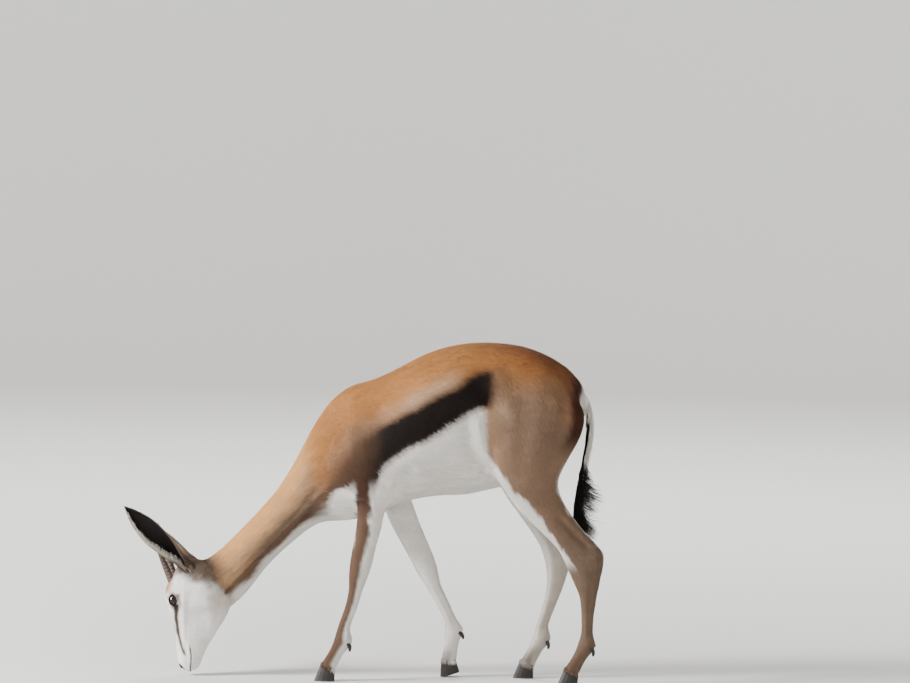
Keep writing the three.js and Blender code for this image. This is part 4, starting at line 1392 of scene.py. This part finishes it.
def ball(rings, sides):
    """Points and faces of a unit ball with its poles on Y"""
    polar = np.linspace(0, np.pi, rings)[1:-1, None]
    turn = np.arange(sides) / sides * 2 * np.pi
    across, level = np.sin(polar), np.cos(polar) * np.ones(sides)
    shell = np.stack([across * np.cos(turn), level, across * np.sin(turn)], -1).reshape(-1, 3)
    points = np.concatenate([shell, [[0, 1, 0], [0, -1, 0]]])
    ring = np.arange(sides)
    top = len(points) - 2
    ends = [fan(top, ring)[:, [0, 2, 1]], fan(top + 1, ring + top - sides)]
    return points, outward(points, np.concatenate([cut(ring_quads(rings - 2, sides)), *ends]))


PUPIL = (0.34, 0.20)  # half its length and half its height, as angles


def make_eyes(material):
    for word, side in SIDES.items():
        points, faces = ball(64, 72)
        look = unit(np.array([0.30, side * 0.93, 0.16]) @ HEAD_AXES)
        flat = unit(np.cross(look, HEAD_AXES[2]))
        rise = np.cross(flat, look)
        turned = points[:, [1]] * look + points[:, [0]] * flat + points[:, [2]] * rise
        off = np.arccos(np.clip(points[:, 1], -1, 1))
        radius = EYE_RADIUS * 0.975 + 0.0008 * step(0.62, 0.30, off)
        u = points[:, 0] / math.sin(PUPIL[0])
        v = points[:, 2] / math.sin(PUPIL[1])
        pupil = step(1.06, 0.94, np.abs(u) ** 3 + np.abs(v) ** 3) * (points[:, 1] > 0)
        iris = layered(COLOURS["iris"], ("iris_edge", step(0.45, 0.72, off)))
        tint = mixed(COLOURS["eye_white"], iris, step(0.78, 0.70, off))
        mesh = mesh_of(f"eyeball_{word}", eye_middle(word) + turned * radius[:, None], faces)
        paint(mesh, layered(tint, ("pupil", pupil)))
        piece(f"eyeball_{word}", mesh, material, "eye", f"eye_{word}")


HORN_LINE = (
    (0.070, 0.014, 0.020), (0.050, 0.017, 0.033), (0.012, 0.022, 0.051), (-0.031, 0.027, 0.069),
    (-0.074, 0.031, 0.086),
)
HORN = {"radius": 0.0103, "tip": 0.0012, "rings": 18, "ring": 0.12, "smooth": 0.74}
HORN_SIDES, HORN_ROWS = 32, 220


def make_horns(material):
    """Slim ringed sheaths that are smooth towards their tips"""
    share = np.linspace(0, 1, HORN_ROWS)
    phase = HORN["rings"] * (share / HORN["smooth"]) ** 0.9
    crest = np.cos(np.pi * phase) ** 4
    fade = step(HORN["smooth"], HORN["smooth"] - 0.22, share) * step(0.0, 0.05, share)
    size = HORN["tip"] + (HORN["radius"] - HORN["tip"]) * (1 - share) ** 0.7
    size = size * (1 + HORN["ring"] * fade * (crest - 0.4))
    size[-1] *= 0.2
    turn = (np.arange(HORN_SIDES) + 0.5) / HORN_SIDES * 2 * np.pi
    flute = 1 + 0.010 * np.sin(turn * 13) + 0.008 * np.sin(turn * 7 + 1)
    tone = layered(COLOURS["horn"], ("horn_tip", step(0.25, 0.80, share)))
    tone = tone * (0.85 + (0.45 * crest - 0.25) * fade)[:, None]
    facing = np.broadcast_to(HEAD_AXES[2], (1, HORN_ROWS, 3))
    for word, side in SIDES.items():
        path = from_head(curve_at(HORN_LINE, share) * [1, side, 1])
        points, faces = swept(path[None], facing, size[None], size[None], HORN_SIDES)
        centre = np.repeat(path, HORN_SIDES, axis=0)
        points = centre + (points - centre) * np.tile(flute, HORN_ROWS)[:, None]
        mesh = mesh_of(f"horn_sheath_{word}", points, faces)
        paint(mesh, np.repeat(tone, HORN_SIDES, axis=0))
        piece(f"horn_sheath_{word}", mesh, material, "horn", f"horn_{word}")


def make_hooves(material):
    """Hooves and dewclaws, rounded from their solids, with fine growth lines"""
    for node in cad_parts:
        if "hoof" not in node and "dewclaw" not in node:
            continue
        points, triangles = merged(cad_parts[node].data)
        for _ in range(3):
            points, triangles = halved(points, triangles)
        low = points[:, 2] < points[:, 2].min() + 0.0015
        points = np.where(low[:, None], points, smoothed(points, edges_of(triangles), 14, 1.0))
        normals = normals_of(points, triangles)
        height = (points[:, 2] - points[:, 2].min()) / max(np.ptp(points[:, 2]), 1e-6)
        growth = np.sin(height * 48 + ripple(points, 0.01, 12)) * 0.00004 * (~low)
        points = points + normals * growth[:, None]
        worn = 0.5 * step(0.10, 0.0, height)
        mesh = mesh_of(f"{node}_horny", points, triangles)
        top = step(0.75, 1.0, height)
        paint(mesh, layered(COLOURS["hoof"], ("hoof_top", top), ("hoof_worn", worn)))
        piece(f"{node}_horny", mesh, material, "hoof", node)


def unwrap_places(mesh):
    """A search tree of the skin's points and their places in its unwrap"""
    places = read(mesh.vertices, "co", 3)
    loops = read(mesh.loops, "vertex_index", 1, np.int32)
    uv = np.zeros((len(places), 2))
    uv[loops] = read(mesh.uv_layers["OFBake"].uv, "vector", 2)
    return tree_of(places), uv


def strands(name, paths, half, tone, places, material, slot, *nodes):
    """Long single hairs, four-sided and closed, as one piece"""
    rings = half.shape[1]
    facing = np.broadcast_to([0.0, 1.0, 0.0], paths.shape)
    points, faces = swept(paths, facing, half * 1.3, half, 4)
    mesh = mesh_of(name, points, faces)
    paint(mesh, np.clip(tone.reshape(-1, 3).repeat(4, axis=0), 0, 1))
    tree, uv = places
    spots = uv[[tree.find(root)[1] for root in paths[:, 0]]][:, None] + patch_spots(rings * 4)
    set_unwrap(mesh, spots.reshape(-1, 2)[faces])
    piece(name, mesh, material, slot, *nodes)


def tapered(kind, draw, count):
    """Half widths of hairs that get thinner to their tips"""
    usual = kind["half"] * draw.uniform(*kind["widths"], count)[:, None]
    return usual * (1 - kind["taper"] * np.linspace(0, 1, kind["rings"]) ** 1.5)


def shaded(kind, draw, count, tone):
    """A colour for each ring of each hair, where every hair has its own shade"""
    return (tone * draw.uniform(*kind["shades"], (count, 1)))[:, None].repeat(kind["rings"], axis=1)


# Long hairs: how many, their rings, the half width, its spread and taper, and the spread of shades
HAIR_KEYS = ("hairs", "rings", "half", "widths", "taper", "shades")
TAIL_HAIR = dict(zip(HAIR_KEYS, (1500, 7, 0.00050, (0.7, 1.4), 0.85, (0.8, 1.15))))
FRINGE = dict(zip(HAIR_KEYS, (560, 5, 0.00016, (0.8, 1.5), 0.8, (0.85, 1.12))))
EAR_ROOT_HAIR = dict(zip(HAIR_KEYS, (380, 5, 0.00036, (0.7, 1.4), 0.85, (0.85, 1.15))))
CORONET = dict(zip(HAIR_KEYS, (190, 4, 0.00034, (0.7, 1.4), 0.8, (0.85, 1.15))))
TAIL_LOCKS = 11
FRINGE_INSET = 0.0030 + 0.0006  # the roots of the fringe, from the ear's outer side
LASHES = {"hairs": 46, "rings": 5, "half": 0.00014, "taper": 0.8, "length": 0.0050}


def make_tail_hair(places, material):
    """Short white hair outside, a black line inside, and long black locks that curve to the rear"""
    draw = np.random.default_rng(31)
    count, rings = TAIL_HAIR["hairs"], TAIL_HAIR["rings"]
    share = draw.beta(1.5, 0.95, count) * 0.98 + 0.02
    angle = draw.uniform(0, 2 * np.pi, count)
    core = curve_at(np.array(TAIL_CORE)[:, None], share)[:, 0]
    out = np.stack([np.cos(angle), np.sin(angle), np.zeros(count)], 1)
    roots = tail_at(share) + out * (core * 0.8)[:, None]
    dark = (share > 0.60 + 0.05 * draw.normal(size=count)) | ((share > 0.26) & (out[:, 0] < -0.35))
    low = step(0.45, 0.95, share)
    locks = TAIL_LOCKS
    lock = (step(0.45, 1.0, share) * locks + draw.normal(0, 0.35, count)).astype(int)
    lock = np.minimum(lock, locks - 1)
    lock_long = draw.uniform(0.85, 1.25, locks)[lock]
    lock_curl = (np.linspace(1.7, 0.65, locks) + draw.normal(0, 0.15, locks))[lock]
    lock_sway = draw.normal(0, 0.08, (locks, 2))[lock]
    stray = draw.random(count) < 0.07
    long = np.where(dark, (0.022 + 0.062 * low) * lock_long, 0.026) * draw.uniform(0.85, 1.08, count)
    curl = np.where(dark, step(0.50, 0.80, share) * (lock_curl + 0.8 * stray), 0.02)
    drift = draw.normal(0, 0.02, (count, 2)) + lock_sway * dark[:, None]
    way = np.linspace(0, 1, rings)
    path = np.empty((count, rings, 3))
    path[:, 0] = roots
    for k in range(1, rings):
        t = way[k]
        heading = np.stack([
            0.20 * out[:, 0] * (1 - t) + curl * (1.9 * t - 0.45) + drift[:, 0],
            0.20 * out[:, 1] * (1 - t) + drift[:, 1],
            np.full(count, -1.0) + 0.55 * np.clip(curl, 0, 1.5) * t**2,
        ], 1)
        path[:, k] = path[:, k - 1] + unit(heading) * (long / (rings - 1))[:, None]
    half = tapered(TAIL_HAIR, draw, count)
    tone = shaded(TAIL_HAIR, draw, count, layered(COLOURS["tail"], ("tuft", dark.astype(float))))
    strands("tail_hair", path, half, tone, places, material, "tail_hair", "tail")


def make_ear_fringe(places, material):
    """Long pale hairs inside the lower rims of the ears"""
    for word in SIDES:
        draw = np.random.default_rng(41)
        _, axis, opening, across = ear_line(word)
        count = FRINGE["hairs"]
        share = 0.03 + 0.90 * draw.beta(1.0, 1.5, count)
        half, depth, wrap = ear_sizes(share)
        angle = np.radians(wrap) * EARS[word]["lower"] * draw.uniform(0.80, 0.98, count)
        side = np.sin(angle)[:, None] * across
        deep = -np.cos(angle)[:, None] * opening
        half_in, depth_in = (half - FRINGE_INSET)[:, None], (depth - FRINGE_INSET)[:, None]
        roots = ear_middle(word, share) + side * half_in + deep * depth_in
        long = draw.uniform(0.007, 0.016, count) * (1.3 - share)
        inward = -(side * half[:, None] + deep * depth[:, None])
        bend = 0.55 * unit(inward) * draw.uniform(0.3, 1.0, (count, 1))
        lean = unit(unit(axis) + bend + draw.normal(0, 0.10, (count, 3)))
        way = np.linspace(0, 1, FRINGE["rings"])[None, :, None]
        path = roots[:, None] + lean[:, None] * way * long[:, None, None]
        path = path + unit(inward)[:, None] * (way**2) * long[:, None, None] * 0.30
        half = tapered(FRINGE, draw, count)
        tone = shaded(FRINGE, draw, count, COLOURS["fringe"])
        strands(f"ear_fringe_{word}", path, half, tone, places, material, "ear", f"ear_{word}")


def make_ear_root_hair(places, material):
    """Longer hair over the roots of the ears, pale where the cup begins"""
    way = np.linspace(0, 1, EAR_ROOT_HAIR["rings"])
    for word in SIDES:
        draw = np.random.default_rng(61)
        _, _, opening, across = ear_line(word)
        count = EAR_ROOT_HAIR["hairs"]
        angle = draw.uniform(-np.pi, np.pi, count)
        first = draw.uniform(-0.07, 0.02, count)
        share = first[:, None] + draw.uniform(0.07, 0.13, count)[:, None] * way
        half, depth, _ = ear_sizes(np.clip(share, 0, 1))
        lift = 0.0010 - 0.0008 * way + draw.normal(0, 0.0003, count)[:, None]
        turn = angle[:, None] + draw.normal(0, 0.10, count)[:, None] * way
        side = (np.sin(turn) * (half + lift))[..., None] * across
        deep = -(np.cos(turn) * (depth + lift))[..., None] * opening
        path = ear_middle(word, share) + side + deep
        kept = np.array([places[0].find(root)[2] < 0.0032 for root in path[:, 0]])
        half = tapered(EAR_ROOT_HAIR, draw, count)
        pale = 0.6 * step(2.3, 2.8, angle * EARS[word]["lower"])
        tone = shaded(EAR_ROOT_HAIR, draw, count, layered(COLOURS["nape"], ("fringe", pale)))
        found = (path[kept], half[kept], tone[kept])
        strands(f"ear_root_hair_{word}", *found, places, material, "ear", f"ear_{word}")


def rim_of(node):
    """The edges between the top of a hoof and its sides, and the sides' normals there"""
    points, triangles = merged(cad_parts[node].data)
    corners = points[triangles]
    facing = unit(np.cross(corners[:, 1] - corners[:, 0], corners[:, 2] - corners[:, 0]))
    side_of = {}
    for index, (a, b, c) in enumerate(triangles):
        for pair in ((a, b), (b, c), (c, a)):
            side_of.setdefault(tuple(sorted(pair)), []).append(index)
    rims = []
    for pair, faces in side_of.items():
        if len(faces) == 2:
            top, wall = sorted(faces, key=lambda face: -facing[face, 2])
            if facing[top, 2] > 0.75 and abs(facing[wall, 2]) < 0.6:
                rims.append((*points[list(pair)], facing[wall]))
    return np.array(rims)


def make_coronet_hair(places, material):
    """Short hair that falls over the upper edge of each hoof"""
    way = np.linspace(0, 1, CORONET["rings"])
    lift = np.interp(way, (0, 0.4, 1), (-0.0012, 0.0008, 0.0007))
    count = CORONET["hairs"]
    for name in LEGS:
        draw = np.random.default_rng(71)
        paths, normals = [], []
        for word in ("inner", "outer"):
            rims = rim_of(f"{name}_hoof_{word}")
            weight = np.linalg.norm(rims[:, 1] - rims[:, 0], axis=1)
            pick = draw.choice(len(rims), count, p=weight / weight.sum())
            along = draw.random((count, 1))
            rim = rims[pick, 0] * (1 - along) + rims[pick, 1] * along
            out = rims[pick, 2]
            down = unit(out * out[:, 2:] - [0, 0, 1.0])
            drop = draw.uniform(0.0035, 0.0080, count)[:, None]
            rise = 0.0065 * (1 - way) - drop * way
            sway = np.cross(out, down) * draw.normal(0, 0.0012, (count, 1))
            path = rim[:, None] - down[:, None] * rise[..., None] + out[:, None] * lift[:, None]
            paths.append(path + sway[:, None] * way[:, None])
            normals.append(out)
        path = np.concatenate(paths)
        half = tapered(CORONET, draw, len(path))
        above = path[:, 0] + [0, 0, 0.01]
        tone = colours_of(above, np.concatenate(normals), np.full(len(path), PART[name]))
        tone = shaded(CORONET, draw, len(path), tone)
        strands(f"coronet_hair_{name}", path, half, tone, places, material, "coat", name)


def make_lashes(places, material):
    """Dark lashes on both lids, longest on the upper one"""
    draw = np.random.default_rng(51)
    count = LASHES["hairs"]
    way = np.linspace(0, 1, LASHES["rings"])[None, :, None]
    turn = LID["slant"]
    paths = []
    for side in SIDES.values():
        upper = np.arange(count) % 3 > 0
        u = draw.uniform(-0.92, 0.92, count) * LID["half_wide"]
        v = LID["half_high"] * (1 - np.abs(u / LID["half_wide"]) ** 2.2) + 0.0006
        v = np.where(upper, v, -v)
        x = u * math.cos(turn) + v * math.sin(turn)
        z = -u * math.sin(turn) + v * math.cos(turn)
        off = np.sqrt((EYE_RADIUS + 0.0012) ** 2 - x**2 - z**2)
        roots = np.stack([EYE_X + x, side * (EYE_Y + off), EYE_Z + z], 1)
        long = np.where(upper, 1.0, 0.5) * LASHES["length"] * draw.uniform(0.7, 1.1, count)
        lean = np.stack([u * 30, np.full(count, side * 0.8), np.where(upper, 0.25, -0.5)], 1)
        rise = np.array([0, 0, 1.0]) * np.where(upper, 0.6, -0.3)[:, None]
        bent = unit(lean)[:, None] * way + rise[:, None] * way**2
        paths.append(from_head(roots[:, None] + bent * long[:, None, None]))
    path = np.concatenate(paths)
    half = np.tile(LASHES["half"] * (1 - LASHES["taper"] * way[..., 0] ** 1.5), (len(path), 1))
    tone = np.tile(COLOURS["lid"], (*half.shape, 1))
    strands("lashes", path, half, tone, places, material, "coat", "head")


# Scene


STAGE = {"flat": 11.0, "bend": 4.0, "high": 8.0, "sides": 96}


def make_stage():
    """A pale round floor that bends up into a wall far from the model"""
    turn = np.linspace(0, np.pi / 2, 30)
    bend, flat, sides = STAGE["bend"], STAGE["flat"], STAGE["sides"]
    reach = np.concatenate([flat + bend * np.sin(turn), [flat + bend]])
    high = np.concatenate([bend * (1 - np.cos(turn)), [STAGE["high"]]])
    around = np.arange(sides) / sides * 2 * np.pi
    x, y = (reach[:, None] * f(around) for f in (np.cos, np.sin))
    rings = np.stack([x, y, np.repeat(high[:, None], sides, axis=1)], -1).reshape(-1, 3)
    wall = cut(ring_quads(len(reach), sides))[:, [0, 2, 1]]
    faces = np.concatenate([wall, fan(len(rings), np.arange(sides))])
    floor = mesh_of("floor", np.concatenate([rings, [[0, 0, 0]]]), faces)
    made = Nodes("floor_pale")
    grain = made.noise(30.0, 4.0, 0.6)
    pale = made.times((0.74, 0.73, 0.71, 1), made.scaled(grain, 0.97, 1.03))
    floor.materials.append(made.finish(pale, made.scaled(grain, 0.75, 0.9)))
    object_of("floor", floor)


def turned(axes, place):
    """The matrix of an object at a place, with its own X, Y and Z along the given axes"""
    return Matrix([[*row, spot] for row, spot in zip(np.stack(axes, 1), place)] + [[0, 0, 0, 1]])


def area_light(name, place, target, size, power):
    data = bpy.data.lights.new(name, "AREA")
    data.shape = "DISK"
    data.size = size
    data.energy = power
    lamp = object_of(name, data)
    lamp.visible_camera = False
    back = unit(np.array(place, float) - np.array(target, float))
    side = unit(np.cross([0.0, 0.0, 1.0], back))
    lamp.matrix_world = turned([side, np.cross(back, side), back], place)


LAMPS = (  # name, place, size and power of the lights that look at the model
    ("key", (-3.5, -1.4, 2.4), 1.2, 400),
    ("fill", (2.4, -3.4, 1.6), 2.6, 10),
    ("rim", (0.2, 1.5, 3.2), 1.6, 40),
)
WALL_LAMPS = (  # name, way they look and power
    ("rear", 0, 1, 1250),
    ("front", 0, -1, 850),
    ("left", -1, 0, 850),
    ("right", 1, 0, 850),
)
WORLD = {"Color": (0.93, 0.95, 1.0, 1), "Strength": 0.16}


def make_lights():
    world = bpy.data.worlds.new("studio")
    world.use_nodes = True
    for key, value in WORLD.items():
        world.node_tree.nodes["Background"].inputs[key].default_value = value
    bpy.context.scene.world = world
    for name, place, size, power in LAMPS:
        area_light(name, place, (SHIFT, 0, 0.4), size, power)
    for word, x, y, power in WALL_LAMPS:
        target = (SHIFT + 14 * x, 14 * y, 1)
        area_light(f"wall_{word}", (SHIFT + 3 * x, 3 * y, 6.5), target, 3.0, power)


CAMERA = {  # the focal length and the width are in pixels
    "place": (0.144, -10.0, 1.250),
    "pitch": math.atan(222 / 4500),
    "roll": math.radians(1.083),
    "focal": 4500,
    "width": 910,
}


def make_camera():
    data = bpy.data.cameras.new("camera")
    data.sensor_width = 36.0
    data.lens = CAMERA["focal"] / CAMERA["width"] * data.sensor_width
    data.clip_end = 100
    pitch, roll = CAMERA["pitch"], CAMERA["roll"]
    ahead = np.array([0, math.cos(pitch), -math.sin(pitch)])
    level = np.array([1.0, 0, 0])
    upright = np.cross(level, ahead)
    right = level * math.cos(roll) + upright * math.sin(roll)
    up = upright * math.cos(roll) - level * math.sin(roll)
    camera = object_of("camera", data)
    camera.matrix_world = turned([right, up, -ahead], np.array(CAMERA["place"]) + [SHIFT, 0, 0])
    bpy.context.scene.camera = camera


def unwrap(made):
    """Gives the skin an unwrap of its own shape"""
    made.data.uv_layers.new(name="OFBake")
    bpy.context.view_layer.objects.active = made
    made.select_set(True)
    bpy.ops.object.mode_set(mode="EDIT")
    bpy.ops.mesh.select_all(action="SELECT")
    bpy.ops.uv.smart_project(angle_limit=math.radians(62), island_margin=0.001)
    bpy.ops.object.mode_set(mode="OBJECT")
    made.select_set(False)


def build():
    make_camera()
    make_stage()
    make_lights()
    fur = hair_material("coat_fur", 0.72, 0.02, (1, 1, 1))
    skin_fur = hair_material("skin_fur", 0.78, 0.02, (1, 1, 1))
    mesh, points, labels = make_skin()
    mesh.materials.clear()
    skin = piece("skin", mesh, skin_fur, "coat", *FLESH, "ear_left", "ear_right", "tail")
    unwrap(skin)
    paint(mesh, colours_of(points, normals_of(points, triangles_of(mesh)), labels) * 0.97)
    grow_coat(mesh, points, labels, fur)
    make_eyes(eye_material())
    make_horns(horn_material())
    make_hooves(hoof_material())
    long_hair = hair_material("long_hair", 0.45, 0.0, (1, 1, 0.2))
    places = unwrap_places(mesh)
    make_tail_hair(places, long_hair)
    make_ear_fringe(places, long_hair)
    make_ear_root_hair(places, long_hair)
    make_coronet_hair(places, long_hair)
    make_lashes(places, long_hair)


build()
